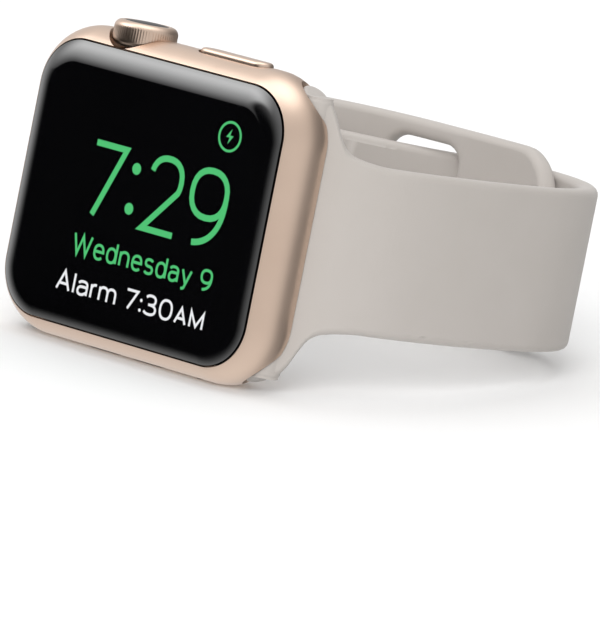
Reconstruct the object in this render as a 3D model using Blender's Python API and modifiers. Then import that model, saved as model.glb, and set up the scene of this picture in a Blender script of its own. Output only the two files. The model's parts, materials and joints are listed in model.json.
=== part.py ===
"""Smartwatch with a rounded rectangular case and a closed two-piece silicone band.

Every piece is placed in the watch's own axes: X runs along the band, towards the
six o'clock strap, Y runs from the display to the wrist, and Z points to the crown.
Y = 0 is the flat of the cover glass. Sizes are in millimetres until they reach a mesh.
At the end the whole watch leans back until it stands on its case and its band.
"""

import math

import bmesh
import bpy
from mathutils import Matrix, Vector

MM = 0.001

# Case.
CASE_LENGTH = 38.6
CASE_HEIGHT = 33.3
CASE_DEPTH = 9.0
CASE_CORNER = 7.2
FRONT_ROUND = 4.4
BACK_ROUND = 4.2
RIM_INSET = 1.65
SEAT_LENGTH = CASE_LENGTH - 2 * RIM_INSET
SEAT_HEIGHT = CASE_HEIGHT - 2 * RIM_INSET
SEAT_CORNER = 5.4
SEAT_FLOOR = 2.3
DISPLAY_WELL_FLOOR = 3.5
CAVITY_FLOOR = 7.2
BACK_SEAT_FLOOR = 7.95
SIDE_LEVEL = 4.6

# Glass and display.
GLASS_GAP = 0.2
GLASS_UNDERSIDE = 1.5
SLIP = 0.05

# Back.
BACK_LENGTH = 25.8
BACK_HEIGHT = 25.2
BACK_CORNER = 5.0
CRYSTAL_RADIUS = 10.4
CRYSTAL_FACE = 10.5
COLLAR_RADIUS = 8.8
LENS_RADIUS = 2.2
LENS_OFFSET = 3.3

# Crown, on an axis parallel to Z.
CROWN_X = -7.5
CROWN_RADIUS = 3.42
CROWN_BOTTOM = 15.2
CROWN_TOP = 17.9
CROWN_TRAVEL = 0.25
SHAFT_RADIUS = 0.9
SHAFT_END = 8.6
BEARING_RADIUS = 1.9

# Side button.
BUTTON_X = 5.9
BUTTON_LENGTH = 9.6
BUTTON_WIDTH = 2.6
BUTTON_TOP = 16.9
BUTTON_BOTTOM = 16.05
BUTTON_TRAVEL = 0.3

# Band slots, lugs and release buttons.
LUG_X = 16.6
LUG_Y = 6.1
LUG_RADIUS = 1.75
LUG_HALF_LENGTH = 15.0
LUG_CLEARANCE = 0.2
MOUTH_WIDTH = 2.6
MOUTH_ANGLE = math.radians(40)
RELEASE_X = 15.6
RELEASE_WIDTH = 1.9
RELEASE_LENGTH = 5.6
RELEASE_BOTTOM = 8.0

# Straps.
STRAP_THICKNESS = 2.2
STRAP_EDGE_ROUND = 0.7
LONG_HALF_WIDTH = 8.85
LONG_TAIL_HALF_WIDTH = 8.0
SHORT_HALF_WIDTH = 11.0
EAR_HALF_WIDTH = 15.4
# How much of the ear's extra width is left at each distance from the lug.
EAR_SHARES = (
    (0.0, 0.84), (0.6, 0.905), (1.2, 0.89), (1.8, 0.80), (2.4, 0.64), (3.0, 0.44), (3.8, 0.22), (5.0, 0.09),
    (8.0, 0.01), (11.0, 0.0), (14.0, 0.0),
)
HOLE_COUNT = 7
HOLE_PITCH = 6.0
HOLE_ALONG = 3.4
HOLE_ACROSS = 4.6
HOLES_BEFORE_PIN = 2
TIP_LENGTH = 7.5
BEND_SPACING = 3.4
PIN_X = 5.0
PIN_RADIUS = 1.35
PIN_HEAD_RADIUS = 2.9
PIN_FOOT_RADIUS = 2.5
KEEPER_X = -7.6
KEEPER_LENGTH = 9.8
KEEPER_HALF_WIDTH = 8.9

# Middle line of each strap, seen from the crown side. It starts at the lug's centre.
LONG_ROUTE = [
    (16.6, 6.1), (18.3, 7.5), (20.75, 10.35), (22.85, 15.0), (24.05, 22.1), (24.35, 30.0),
    (23.4, 39.8), (20.3, 47.7), (14.3, 53.6), (6.8, 56.2), (0.5, 56.6), (-3.6, 55.9),
    (-7.6, 53.4), (-11.6, 50.3), (-15.6, 48.2), (-18.9, 45.2), (-21.1, 41.0), (-21.7, 38.2),
]
SHORT_ROUTE = [
    (-16.6, 6.1), (-18.3, 7.5), (-20.75, 10.35), (-22.85, 15.0), (-24.1, 22.1), (-24.6, 30.0),
    (-24.0, 39.0), (-21.4, 46.4), (-16.6, 51.0), (-10.5, 53.2), (-3.5, 53.7), (4.0, 53.6),
    (9.4, 52.8), (13.2, 51.1),
]

# How far the watch leans back when it stands on the case and the strap.
LEAN = math.radians(6.53)

NOT_TURNED = (0, 0, 0)
FACING_FRONT = (math.pi / 2, 0, 0)


# --- Scene, materials and placing -------------------------------------------------

def clear_scene():
    for obj in list(bpy.data.objects):
        bpy.data.objects.remove(obj, do_unlink=True)


def new_collection(name):
    collection = bpy.data.collections.new(name)
    bpy.context.scene.collection.children.link(collection)
    return collection


def new_material(name, colour, roughness, metallic=0.0):
    material = bpy.data.materials.new(name)
    material.use_nodes = True
    shader = material.node_tree.nodes["Principled BSDF"]
    shader.inputs["Base Color"].default_value = (*colour, 1.0)
    shader.inputs["Roughness"].default_value = roughness
    shader.inputs["Metallic"].default_value = metallic
    return material


def place(obj, centre, turn=NOT_TURNED):
    """Puts an object at a point of the watch, in millimetres, under the watch's empty."""
    obj.parent = FRAME
    obj.location = Vector(centre) * MM
    obj.rotation_euler = turn
    return obj


def object_from(bm, name):
    """Turns a bmesh in millimetres into an object of the watch."""
    bmesh.ops.recalc_face_normals(bm, faces=bm.faces[:])
    if bm.calc_volume(signed=True) < 0:
        bmesh.ops.reverse_faces(bm, faces=bm.faces[:])
    bmesh.ops.scale(bm, vec=(MM, MM, MM), verts=bm.verts[:])
    mesh = bpy.data.meshes.new(name)
    bm.to_mesh(mesh)
    bm.free()
    obj = bpy.data.objects.new(name, mesh)
    WATCH.objects.link(obj)
    return obj


def finish(obj, material, sharp=35):
    obj.data.materials.append(material)
    obj.data.shade_smooth()
    obj.data.set_sharp_from_angle(angle=math.radians(sharp))
    return obj


def combine(target, tool, operation="DIFFERENCE"):
    """Cuts, joins or intersects target with a tool, which becomes a hidden helper."""
    modifier = target.modifiers.new(operation.title() + "_" + tool.name, "BOOLEAN")
    modifier.operation = operation
    modifier.solver = "EXACT"
    modifier.object = tool
    if tool.name in WATCH.objects:
        WATCH.objects.unlink(tool)
        TOOLS.objects.link(tool)
    tool.hide_render = True
    tool.display_type = "WIRE"
    return target


# --- Shapes -------------------------------------------------------------------------

def plate(name, length, height, depth, corner=0.0, front=0.0, back=0.0, corner_steps=5, edge_steps=4):
    """A flat box facing its own +Z, with rounded corners and rounded front and back edges."""
    bm = bmesh.new()
    bmesh.ops.create_cube(bm, size=1.0)
    bmesh.ops.scale(bm, vec=(length, height, depth), verts=bm.verts[:])
    if corner:
        upright = [e for e in bm.edges if abs(e.verts[0].co.z - e.verts[1].co.z) > depth / 2]
        bmesh.ops.bevel(bm, geom=upright, offset=corner, segments=corner_steps, profile=0.5, affect="EDGES")
    for level, radius in ((depth / 2, front), (-depth / 2, back)):
        if radius:
            rim = [
                e for e in bm.edges
                if all(abs(v.co.z - level) < 1e-4 for v in e.verts)
                and any(abs(f.normal.z) < 0.5 for f in e.link_faces)
            ]
            bmesh.ops.bevel(bm, geom=rim, offset=radius, segments=edge_steps, profile=0.5, affect="EDGES")
    return object_from(bm, name)


def rod(name, radius, length, steps=24):
    """A round bar along its own Z."""
    bm = bmesh.new()
    bmesh.ops.create_cone(bm, cap_ends=True, segments=steps, radius1=radius, radius2=radius, depth=length)
    return object_from(bm, name)


def turned(name, profile, steps=28, closed=False):
    """A turned piece about its own Z, from (radius, height) points that run down its outer side."""
    bm = bmesh.new()
    points = [bm.verts.new((radius, 0, height)) for radius, height in profile]
    for first, second in zip(points, points[1:]):
        bm.edges.new((first, second))
    if closed:
        bm.edges.new((points[-1], points[0]))
    obj = object_from(bm, name)
    screw = obj.modifiers.new("Turn", "SCREW")
    screw.axis = "Z"
    screw.steps = steps
    screw.render_steps = steps
    screw.use_merge_vertices = True
    screw.merge_threshold = 1e-6
    return obj


def ring_plate(name, outer, inner, depth):
    """A flat ring between two rounded rectangles, each given as (length, height, corner)."""
    ring = plate(name, outer[0], outer[1], depth, outer[2])
    hole = plate(name + "_window", inner[0], inner[1], depth + 2, inner[2])
    return combine(ring, hole), hole


def smooth_route(points, spacing=0.25):
    """Evenly spaced points, in millimetres, on a smooth curve through the given points."""
    ends = [2 * Vector(points[0]) - Vector(points[1])], [2 * Vector(points[-1]) - Vector(points[-2])]
    knots = ends[0] + [Vector(p) for p in points] + ends[1]
    curve = []
    for before, start, end, after in zip(knots, knots[1:], knots[2:], knots[3:]):
        for step in range(16):
            t = step / 16
            curve.append(0.5 * (
                2 * start + (end - before) * t + (2 * before - 5 * start + 4 * end - after) * t * t
                + (3 * start - before - 3 * end + after) * t ** 3
            ))
    curve.append(knots[-2])
    even, left = [curve[0]], spacing
    for start, end in zip(curve, curve[1:]):
        length = (end - start).length
        position = left
        while position <= length:
            even.append(start.lerp(end, position / length))
            position += spacing
        left = position - length
    return even, spacing


class Route:
    """A strap's middle line, read by the distance from its lug."""

    def __init__(self, points):
        self.points, self.spacing = smooth_route(points)
        self.length = (len(self.points) - 1) * self.spacing

    def at(self, distance):
        place_on = min(max(distance / self.spacing, 0), len(self.points) - 1.001)
        index = int(place_on)
        return self.points[index].lerp(self.points[index + 1], place_on - index)

    def direction(self, distance):
        return (self.at(distance + 0.4) - self.at(distance - 0.4)).normalized()

    def distance_at_x(self, x):
        """The furthest distance at which the route is at this X."""
        nearest = min(range(len(self.points)), key=lambda i: (abs(self.points[i].x - x), -i))
        return nearest * self.spacing


def blend_between(low, high, share):
    share = min(max(share, 0), 1)
    return low + (high - low) * share * share * (3 - 2 * share)


# --- Case, glass and display ----------------------------------------------------------

def case_block(name):
    block = plate(name, CASE_LENGTH, CASE_HEIGHT, CASE_DEPTH, CASE_CORNER, FRONT_ROUND, BACK_ROUND)
    return place(block, (0, CASE_DEPTH / 2, 0), FACING_FRONT)


def well(name, length, height, corner, front, back):
    """A cutter with a rounded outline that runs from one depth to another."""
    cutter = plate(name, length, height, back - front, corner, corner_steps=5)
    return place(cutter, (0, (front + back) / 2, 0), FACING_FRONT)


def slot_cutter(side):
    """The channel of one band slot: a round groove for the lug and a mouth for the strap."""
    groove = rod("slot_groove", LUG_RADIUS + LUG_CLEARANCE, 2 * CASE_HEIGHT, steps=24)
    place(groove, (side * LUG_X, LUG_Y, 0))
    mouth_length = 8.0
    mouth = plate("slot_mouth", mouth_length, MOUTH_WIDTH, 2 * CASE_HEIGHT)
    reach = mouth_length / 2
    centre = (
        side * (LUG_X + reach * math.cos(MOUTH_ANGLE)),
        LUG_Y + reach * math.sin(MOUTH_ANGLE),
        0,
    )
    place(mouth, centre, (0, 0, side * MOUTH_ANGLE))
    return groove, mouth


def add_case():
    case = case_block("case_shell")
    wells = (
        ("glass_seat", SEAT_LENGTH, SEAT_HEIGHT, SEAT_CORNER, -1.0, SEAT_FLOOR),
        ("display_well", 31.2, 27.4, 3.4, SEAT_FLOOR - 0.5, DISPLAY_WELL_FLOOR),
        ("cavity", 28.0, 28.4, 3.6, DISPLAY_WELL_FLOOR - 0.5, CAVITY_FLOOR),
        ("back_window", 23.2, 22.8, 3.6, CAVITY_FLOOR - 0.5, BACK_SEAT_FLOOR + 0.4),
        ("back_seat", BACK_LENGTH + 0.3, BACK_HEIGHT + 0.3, BACK_CORNER, BACK_SEAT_FLOOR, CASE_DEPTH + 1),
    )
    for values in wells:
        combine(case, well(*values))
    for side in (1, -1):
        for tool in slot_cutter(side):
            combine(case, tool)
        release = plate("release_hole", RELEASE_WIDTH + 0.24, RELEASE_LENGTH + 0.24, 3.0, RELEASE_WIDTH / 2 + 0.1)
        combine(case, place(release, (side * RELEASE_X, RELEASE_BOTTOM + 0.9, 0), FACING_FRONT))

    pocket = rod("crown_pocket", CROWN_RADIUS + 0.3, 4.0, steps=40)
    combine(case, place(pocket, (CROWN_X, SIDE_LEVEL, CROWN_BOTTOM - CROWN_TRAVEL - 0.15 + 2.0)))
    bearing_seat = rod("bearing_seat", BEARING_RADIUS + SLIP, 4.0)
    combine(case, place(bearing_seat, (CROWN_X, SIDE_LEVEL, CROWN_BOTTOM - 0.5)))

    recess = plate("button_recess", BUTTON_LENGTH + 0.3, BUTTON_WIDTH + 0.3, 3.0, BUTTON_WIDTH / 2 + 0.1)
    combine(case, place(recess, (BUTTON_X, SIDE_LEVEL, BUTTON_BOTTOM - BUTTON_TRAVEL - 0.05 + 1.5)))
    stem_hole = plate("button_stem_hole", 5.2, 1.5, 4.0, 0.7)
    combine(case, place(stem_hole, (BUTTON_X, SIDE_LEVEL, BUTTON_BOTTOM - 1.5)))

    for x in (-4.2, 2.2):
        grille = plate("speaker_slot", 4.6, 0.9, 4.0, 0.44, corner_steps=4)
        combine(case, place(grille, (x, SIDE_LEVEL, -CASE_HEIGHT / 2 + 0.5)))
    port = rod("microphone_port", 0.45, 4.0, steps=12)
    combine(case, place(port, (9.6, SIDE_LEVEL, -CASE_HEIGHT / 2 + 0.5)))
    for x, z in corner_points(SCREW_OFFSET):
        hole = rod("screw_hole", 0.5, 1.2, steps=12)
        combine(case, place(hole, (x, CAVITY_FLOOR, z), FACING_FRONT))
    return finish(case, GOLD)


def add_glass():
    glass = case_block("cover_glass")
    plug = well(
        "glass_outline", SEAT_LENGTH - 2 * GLASS_GAP, SEAT_HEIGHT - 2 * GLASS_GAP,
        SEAT_CORNER - GLASS_GAP, -1.0, GLASS_UNDERSIDE,
    )
    return finish(combine(glass, plug, "INTERSECT"), GLASS)


def corner_points(offset):
    return [(x * offset[0], z * offset[1]) for x in (-1, 1) for z in (-1, 1)]


SCREW_OFFSET = (12.5, 12.3)


def block(name, low, high, material, corner=0.0, edge=0.0):
    """A box between two corners of the watch, in millimetres, with rounded corners and edges."""
    size = [b - a for a, b in zip(low, high)]
    centre = [(a + b) / 2 for a, b in zip(low, high)]
    obj = plate(name, size[0], size[2], size[1], corner, edge, edge, corner_steps=4, edge_steps=2)
    return finish(place(obj, centre, FACING_FRONT), material)


def add_display():
    gasket_front = GLASS_UNDERSIDE + SLIP
    gasket_back = SEAT_FLOOR - SLIP
    gasket, window = ring_plate(
        "force_gasket", (SEAT_LENGTH - 0.5, SEAT_HEIGHT - 0.5, SEAT_CORNER - 0.25), (31.6, 27.6, 3.4),
        gasket_back - gasket_front,
    )
    for piece in (gasket, window):
        place(piece, (0, (gasket_front + gasket_back) / 2, 0), FACING_FRONT)
    finish(gasket, RUBBER)
    block("display_panel", (-15.3, gasket_front, -13.3), (15.3, 2.65, 13.3), PANEL, corner=3.0)
    flex = block("display_flex", (6.6, 2.75, -3.0), (6.8, 6.2, 3.0), FLEX)
    foot = block("display_flex_foot", (6.7, 2.75, -3.0), (9.5, 2.9, 3.0), FLEX)
    combine(flex, foot, "UNION")


def add_internals():
    block("battery", (-13.4, 3.0, -9.2), (6.3, 6.1, 5.2), BATTERY, corner=1.0)
    block("haptic_engine", (7.1, 3.05, -9.2), (13.5, 6.1, 9.2), STEEL, corner=0.6)
    block("logic_module", (-10.9, 6.3, -10.7), (10.9, 7.85, 10.7), RESIN, corner=3.2)
    block("speaker_module", (-7.6, 3.7, -14.0), (5.4, 6.2, -9.7), RESIN, corner=0.8)
    block("microphone", (8.2, 3.9, -14.0), (11.0, 5.4, -12.0), STEEL, corner=0.3)
    frame, window = ring_plate("chassis_plate", (27.4, 27.8, 3.2), (22.4, 22.0, 1.6), 0.4)
    holes = []
    for x, z in corner_points(SCREW_OFFSET):
        hole = rod("chassis_hole", 0.6, 2.0, steps=12)
        holes.append(combine(frame, place(hole, (x, 6.9, z), FACING_FRONT)))
    for piece in (frame, window):
        place(piece, (0, 6.9, 0), FACING_FRONT)
    finish(frame, STEEL)
    for index, (x, z) in enumerate(corner_points(SCREW_OFFSET), 1):
        screw = turned(
            f"chassis_screw_{index}",
            [(0, 0.25), (0.25, 0.5), (0.9, 0.5), (0.9, 0.05), (0.42, 0.05), (0.42, -1.1), (0, -1.1)], steps=16,
        )
        finish(place(screw, (x, 6.6, z), FACING_FRONT), STEEL)


# --- Back -----------------------------------------------------------------------------

def add_back():
    gasket, window = ring_plate(
        "back_gasket", (BACK_LENGTH - 0.1, BACK_HEIGHT - 0.1, BACK_CORNER), (23.6, 23.2, 3.6), 0.14,
    )
    for piece in (gasket, window):
        place(piece, (0, BACK_SEAT_FLOOR + 0.1, 0), FACING_FRONT)
    finish(gasket, RUBBER)

    cover_front, cover_back = BACK_SEAT_FLOOR + 0.2, CASE_DEPTH
    cover = plate(
        "back_cover", BACK_LENGTH, BACK_HEIGHT, cover_back - cover_front, BACK_CORNER, 0.0, 0.25, edge_steps=2,
    )
    place(cover, (0, (cover_front + cover_back) / 2, 0), FACING_FRONT)
    opening = rod("crystal_opening", COLLAR_RADIUS + 0.1, 4.0, steps=48)
    combine(cover, place(opening, (0, CASE_DEPTH, 0), FACING_FRONT))
    finish(cover, CERAMIC)

    # The crystal's profile is drawn with its face down, so that it faces the wrist.
    rim = CASE_DEPTH + SLIP
    crystal = turned("back_crystal", [
        (0, -(CRYSTAL_FACE - 0.8)), (8.0, -(CRYSTAL_FACE - 0.8)), (8.1, -(BACK_SEAT_FLOOR + 0.3)),
        (COLLAR_RADIUS, -(BACK_SEAT_FLOOR + 0.3)), (COLLAR_RADIUS, -rim), (CRYSTAL_RADIUS, -rim),
        (CRYSTAL_RADIUS - 0.25, -(rim + 0.45)), (9.3, -(rim + 0.95)), (8.2, -(CRYSTAL_FACE - 0.12)),
        (7.2, -CRYSTAL_FACE), (0, -CRYSTAL_FACE),
    ], steps=40)
    place(crystal, (0, 0, 0), FACING_FRONT)
    for index, (x, z) in enumerate(corner_points((LENS_OFFSET, LENS_OFFSET)), 1):
        hole = rod("lens_hole", LENS_RADIUS + 0.08, 3.0, steps=20)
        combine(crystal, place(hole, (x, CRYSTAL_FACE, z), FACING_FRONT))
        lens = turned(f"sensor_lens_{index}", [
            (0, 0.45), (LENS_RADIUS, 0.45), (LENS_RADIUS, -0.3), (LENS_RADIUS - 0.35, -0.42), (0, -0.45),
        ], steps=20)
        finish(place(lens, (x, CRYSTAL_FACE - 0.5, z), FACING_FRONT), LENS)
    finish(crystal, CRYSTAL)

    board = rod("sensor_board", 7.6, 0.35, steps=40)
    finish(place(board, (0, 9.3, 0), FACING_FRONT), BOARD)
    coil = turned("charging_coil", [(7.6, 0.3), (7.6, -0.3), (4.4, -0.3), (4.4, 0.3)], steps=28, closed=True)
    finish(place(coil, (0, 8.6, 0), FACING_FRONT), COPPER)
    magnet = rod("alignment_magnet", 3.9, 0.8, steps=32)
    finish(place(magnet, (0, 8.55, 0), FACING_FRONT), STEEL)


# --- Crown and side button --------------------------------------------------------------

def add_crown():
    height = CROWN_TOP - CROWN_BOTTOM
    head = turned("crown_head", [
        (2.3, height - 0.35), (2.35, height), (2.75, height), (3.1, height - 0.18), (3.33, height - 0.5),
        (CROWN_RADIUS, height - 0.9), (CROWN_RADIUS, 0.75), (3.3, 0.3), (3.0, 0.0), (SHAFT_RADIUS + SLIP, 0.0),
        (SHAFT_RADIUS + SLIP, height - 0.35),
    ], closed=True)
    finish(place(head, (CROWN_X, SIDE_LEVEL, CROWN_BOTTOM)), GOLD)
    cap = turned("crown_cap", [
        (0, 0.28), (1.4, 0.24), (2.15, 0.1), (2.22, 0.0), (0, 0.0),
    ])
    finish(place(cap, (CROWN_X, SIDE_LEVEL, CROWN_TOP - 0.3)), CAP)

    top = CROWN_TOP - 0.35 - CROWN_BOTTOM
    shaft = turned("crown_shaft", [
        (0, top), (SHAFT_RADIUS, top), (SHAFT_RADIUS, -3.4), (1.5, -3.4), (1.5, -5.6), (SHAFT_RADIUS, -5.6),
        (SHAFT_RADIUS, SHAFT_END - CROWN_BOTTOM + 0.2), (0.7, SHAFT_END - CROWN_BOTTOM), (0, SHAFT_END - CROWN_BOTTOM),
    ], steps=20)
    finish(place(shaft, (CROWN_X, SIDE_LEVEL, CROWN_BOTTOM)), STEEL)

    bore = SHAFT_RADIUS + 0.07
    bearing = turned("crown_bearing", [
        (BEARING_RADIUS, 2.3), (BEARING_RADIUS, 0), (bore, 0), (bore, 1.1), (1.6, 1.1), (1.6, 1.8), (bore, 1.8),
        (bore, 2.3),
    ], steps=20, closed=True)
    finish(place(bearing, (CROWN_X, SIDE_LEVEL, 12.5)), BRASS)
    seal = turned("crown_seal", [
        (1.26 + 0.27 * math.cos(a), 0.27 * math.sin(a))
        for a in (math.tau * step / -6 for step in range(6))
    ], steps=20, closed=True)
    finish(place(seal, (CROWN_X, SIDE_LEVEL, 13.95)), RUBBER)

    thrust = rod("crown_thrust_plate", 1.6, 0.5)
    finish(place(thrust, (CROWN_X, SIDE_LEVEL, SHAFT_END - 0.3)), STEEL)
    switch = plate("crown_switch", 3.4, 2.6, 1.0, 0.4, 0.3, 0.0, corner_steps=3, edge_steps=2)
    finish(place(switch, (CROWN_X, SIDE_LEVEL, SHAFT_END - 0.6 - CROWN_TRAVEL - 0.55)), RESIN)
    block("crown_encoder", (CROWN_X - 1.2, 6.25, 11.0), (CROWN_X + 1.2, 6.6, 12.2), RESIN)
    bracket = block("crown_bracket", (CROWN_X - 3.2, 3.1, 5.5), (CROWN_X + 3.2, 6.1, 6.1), STEEL)
    arm = block("crown_bracket_arm", (CROWN_X + 2.6, 3.1, 5.6), (CROWN_X + 3.2, 6.1, 13.6), STEEL)
    combine(bracket, arm, "UNION")


def add_side_button():
    button = plate(
        "side_button", BUTTON_LENGTH, BUTTON_WIDTH, BUTTON_TOP - BUTTON_BOTTOM, BUTTON_WIDTH / 2 - 0.01, 0.35,
    )
    place(button, (BUTTON_X, SIDE_LEVEL, (BUTTON_TOP + BUTTON_BOTTOM) / 2))
    stem = plate("button_stem", 4.8, 1.1, 2.6, 0.5)
    combine(button, place(stem, (BUTTON_X, SIDE_LEVEL, BUTTON_BOTTOM - 1.2)), "UNION")
    finish(button, GOLD)
    switch = plate("side_button_switch", 5.4, 2.2, 1.0, 0.4, 0.3, 0.0, corner_steps=3, edge_steps=2)
    finish(place(switch, (BUTTON_X, SIDE_LEVEL, BUTTON_BOTTOM - 2.5 - BUTTON_TRAVEL - 0.55)), RESIN)
    bracket = block("side_button_bracket", (BUTTON_X - 4.0, 3.2, 10.8), (BUTTON_X + 4.0, 6.0, 11.4), STEEL)
    arm = block("side_button_bracket_arm", (BUTTON_X - 4.0, 3.2, 10.9), (BUTTON_X - 3.4, 6.0, 14.0), STEEL)
    combine(bracket, arm, "UNION")


# --- Band -------------------------------------------------------------------------------

def ear_half_width(distance, strap_half_width):
    """Half the strap's width near its lug, where an ear follows the case's rounded corner."""
    index = max(i for i, (start, _) in enumerate(EAR_SHARES[:-1]) if start <= distance or i == 0)
    (start, first), (end, last) = EAR_SHARES[index], EAR_SHARES[index + 1]
    before, after = EAR_SHARES[max(index - 1, 0)], EAR_SHARES[min(index + 2, len(EAR_SHARES) - 1)]
    span = end - start
    t = min((distance - start) / span, 1)
    leave = (last - before[1]) / (end - before[0]) * span
    arrive = (after[1] - first) / (after[0] - start) * span
    share = (2 * t ** 3 - 3 * t ** 2 + 1) * first + (t ** 3 - 2 * t ** 2 + t) * leave
    share += (3 * t ** 2 - 2 * t ** 3) * last + (t ** 3 - t ** 2) * arrive
    return strap_half_width + (EAR_HALF_WIDTH - strap_half_width) * share


def tip_factor(distance, length, round_length):
    """How much of the full width is left near a rounded tip."""
    past = max(0.0, distance - (length - round_length)) / round_length
    return math.sqrt(max(0.0, 1 - past * past))


def long_half_width(distance, length):
    if distance < 20:
        return ear_half_width(distance, LONG_HALF_WIDTH)
    taper = blend_between(LONG_HALF_WIDTH, LONG_TAIL_HALF_WIDTH, (distance - 60) / 15)
    return taper * tip_factor(distance, length, TIP_LENGTH)


def short_half_width(distance, length):
    if distance < 20:
        return ear_half_width(distance, 9.8)
    widened = blend_between(9.8, SHORT_HALF_WIDTH, (distance - 20) / 25)
    return widened * tip_factor(distance, length, TIP_LENGTH)


def pill(centre, along, across, steps=4):
    """Points round a pill, with its rounded ends on its longer sides' ends."""
    radius = min(along, across) / 2
    reach = Vector((along / 2 - radius, across / 2 - radius))
    points = []
    for corner, (sx, sy) in enumerate(((1, 1), (-1, 1), (-1, -1), (1, -1))):
        for step in range(steps // 2 + 1):
            angle = math.pi / 2 * (corner + step / (steps // 2))
            point = Vector((centre + sx * reach.x + radius * math.cos(angle), sy * reach.y + radius * math.sin(angle)))
            if not points or (point - points[-1]).length > 1e-4:
                points.append(point)
    if (points[0] - points[-1]).length < 1e-4:
        points.pop()
    return points


def box_outline(centre, along, across, corner):
    """Points round a rectangle with rounded corners."""
    points = []
    for quarter, (sx, sy) in enumerate(((1, 1), (-1, 1), (-1, -1), (1, -1))):
        for step in range(4):
            angle = math.pi / 2 * (quarter + step / 3)
            points.append(Vector((
                centre + sx * (along / 2 - corner) + corner * math.cos(angle),
                sy * (across / 2 - corner) + corner * math.sin(angle),
            )))
    return points


def strap_outline(length, half_width):
    flare = [0, 0.6, 1.2, 1.8, 2.4, 3.0, 3.8, 5.0, 7.0, 9.5, 12]
    middle = [12 + (length - TIP_LENGTH - 12) * (step + 1) / 8 for step in range(8)]
    tip = [length - TIP_LENGTH + TIP_LENGTH * math.sin(math.radians(82) * (step + 1) / 6) for step in range(6)]
    side = [(s, half_width(s, length)) for s in flare + middle + tip]
    return [Vector((s, -w)) for s, w in side] + [Vector((s, w)) for s, w in reversed(side)]


def bent_strap(name, route, half_width, openings):
    """A flat strap with rounded edges and openings, cut across and bent along its route."""
    curve = bpy.data.curves.new(name + "_outline", "CURVE")
    curve.dimensions = "2D"
    curve.fill_mode = "BOTH"
    curve.extrude = STRAP_THICKNESS / 2 - STRAP_EDGE_ROUND
    curve.bevel_depth = STRAP_EDGE_ROUND
    curve.bevel_resolution = 0
    curve.offset = -STRAP_EDGE_ROUND
    for points in [strap_outline(route.length, half_width)] + [opening[::-1] for opening in openings]:
        spline = curve.splines.new("POLY")
        spline.points.add(len(points) - 1)
        spline.use_cyclic_u = True
        for target, point in zip(spline.points, points):
            target.co = (point.x, point.y, 0, 1)
    flat = bpy.data.objects.new(name + "_flat", curve)
    mesh = bpy.data.meshes.new_from_object(flat)
    bpy.data.objects.remove(flat)
    bpy.data.curves.remove(curve)

    bm = bmesh.new()
    bm.from_mesh(mesh)
    bpy.data.meshes.remove(mesh)
    bmesh.ops.remove_doubles(bm, verts=bm.verts[:], dist=1e-4)
    count = round(route.length / BEND_SPACING)
    for step in range(1, count):
        everything = bm.verts[:] + bm.edges[:] + bm.faces[:]
        centre = (route.length * step / count, 0, 0)
        bmesh.ops.bisect_plane(bm, geom=everything, dist=1e-3, plane_co=centre, plane_no=(1, 0, 0))
    # Between two cuts the flat faces become single faces again.
    inner = [
        e for e in bm.edges
        if abs(e.verts[0].co.x - e.verts[1].co.x) > 1e-3 and all(abs(f.normal.z) > 0.999 for f in e.link_faces)
    ]
    bmesh.ops.dissolve_limit(bm, angle_limit=1e-3, verts=[], edges=inner)
    bmesh.ops.dissolve_verts(bm, verts=[v for v in bm.verts if len(v.link_edges) == 2])
    bmesh.ops.triangulate(bm, faces=[f for f in bm.faces if len(f.verts) > 4])
    origin = route.at(0)
    for vertex in bm.verts:
        point = route.at(vertex.co.x)
        along = route.direction(vertex.co.x)
        outwards = Vector((along.y, -along.x)) * (1 if route.points[-1].x < route.points[0].x else -1)
        place_at = point - origin + outwards * vertex.co.z
        vertex.co = Vector((place_at.x, place_at.y, vertex.co.y))
    return place(object_from(bm, name), (origin.x, origin.y, 0))


def add_lug(strap, side, name):
    """The lug's bead, with a pocket for the latch, and the latch that rides in it."""
    end = LUG_HALF_LENGTH
    bead = turned(f"{name}_bead", [
        (0, end), (LUG_RADIUS - 0.9, end), (LUG_RADIUS - 0.25, end - 0.3), (LUG_RADIUS, end - 1.0),
        (LUG_RADIUS, 1.0 - end), (LUG_RADIUS - 0.25, 0.3 - end), (LUG_RADIUS - 0.9, -end), (0, -end),
    ], steps=20)
    combine(strap, place(bead, (side * LUG_X, LUG_Y, 0)), "UNION")
    pocket = plate(f"{name}_pocket", 2.5, 6.2, 3.0)
    combine(strap, place(pocket, (side * RELEASE_X, 7.3, 0), FACING_FRONT))
    latch = plate(f"{name}_latch", 1.1, 5.2, 0.7, 0.4, 0.0, 0.2, corner_steps=3, edge_steps=2)
    return finish(place(latch, (side * 15.9, 6.95, 0), FACING_FRONT), STEEL)


def place_on_route(obj, route, distance, shift=0.0):
    """Stands an object's +Z out of the loop, with its X along the strap. Shift is outwards."""
    point, along = route.at(distance), route.direction(distance)
    along = Vector((along.x, along.y, 0))
    outwards = along.cross(Vector((0, 0, 1)))
    if outwards.y < 0:
        outwards.negate()
        along.negate()
    across = outwards.cross(along)
    turn = Matrix((along, across, outwards)).transposed()
    centre = Vector((point.x, point.y, 0)) + outwards * shift
    return place(obj, centre, turn.to_euler())


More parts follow.
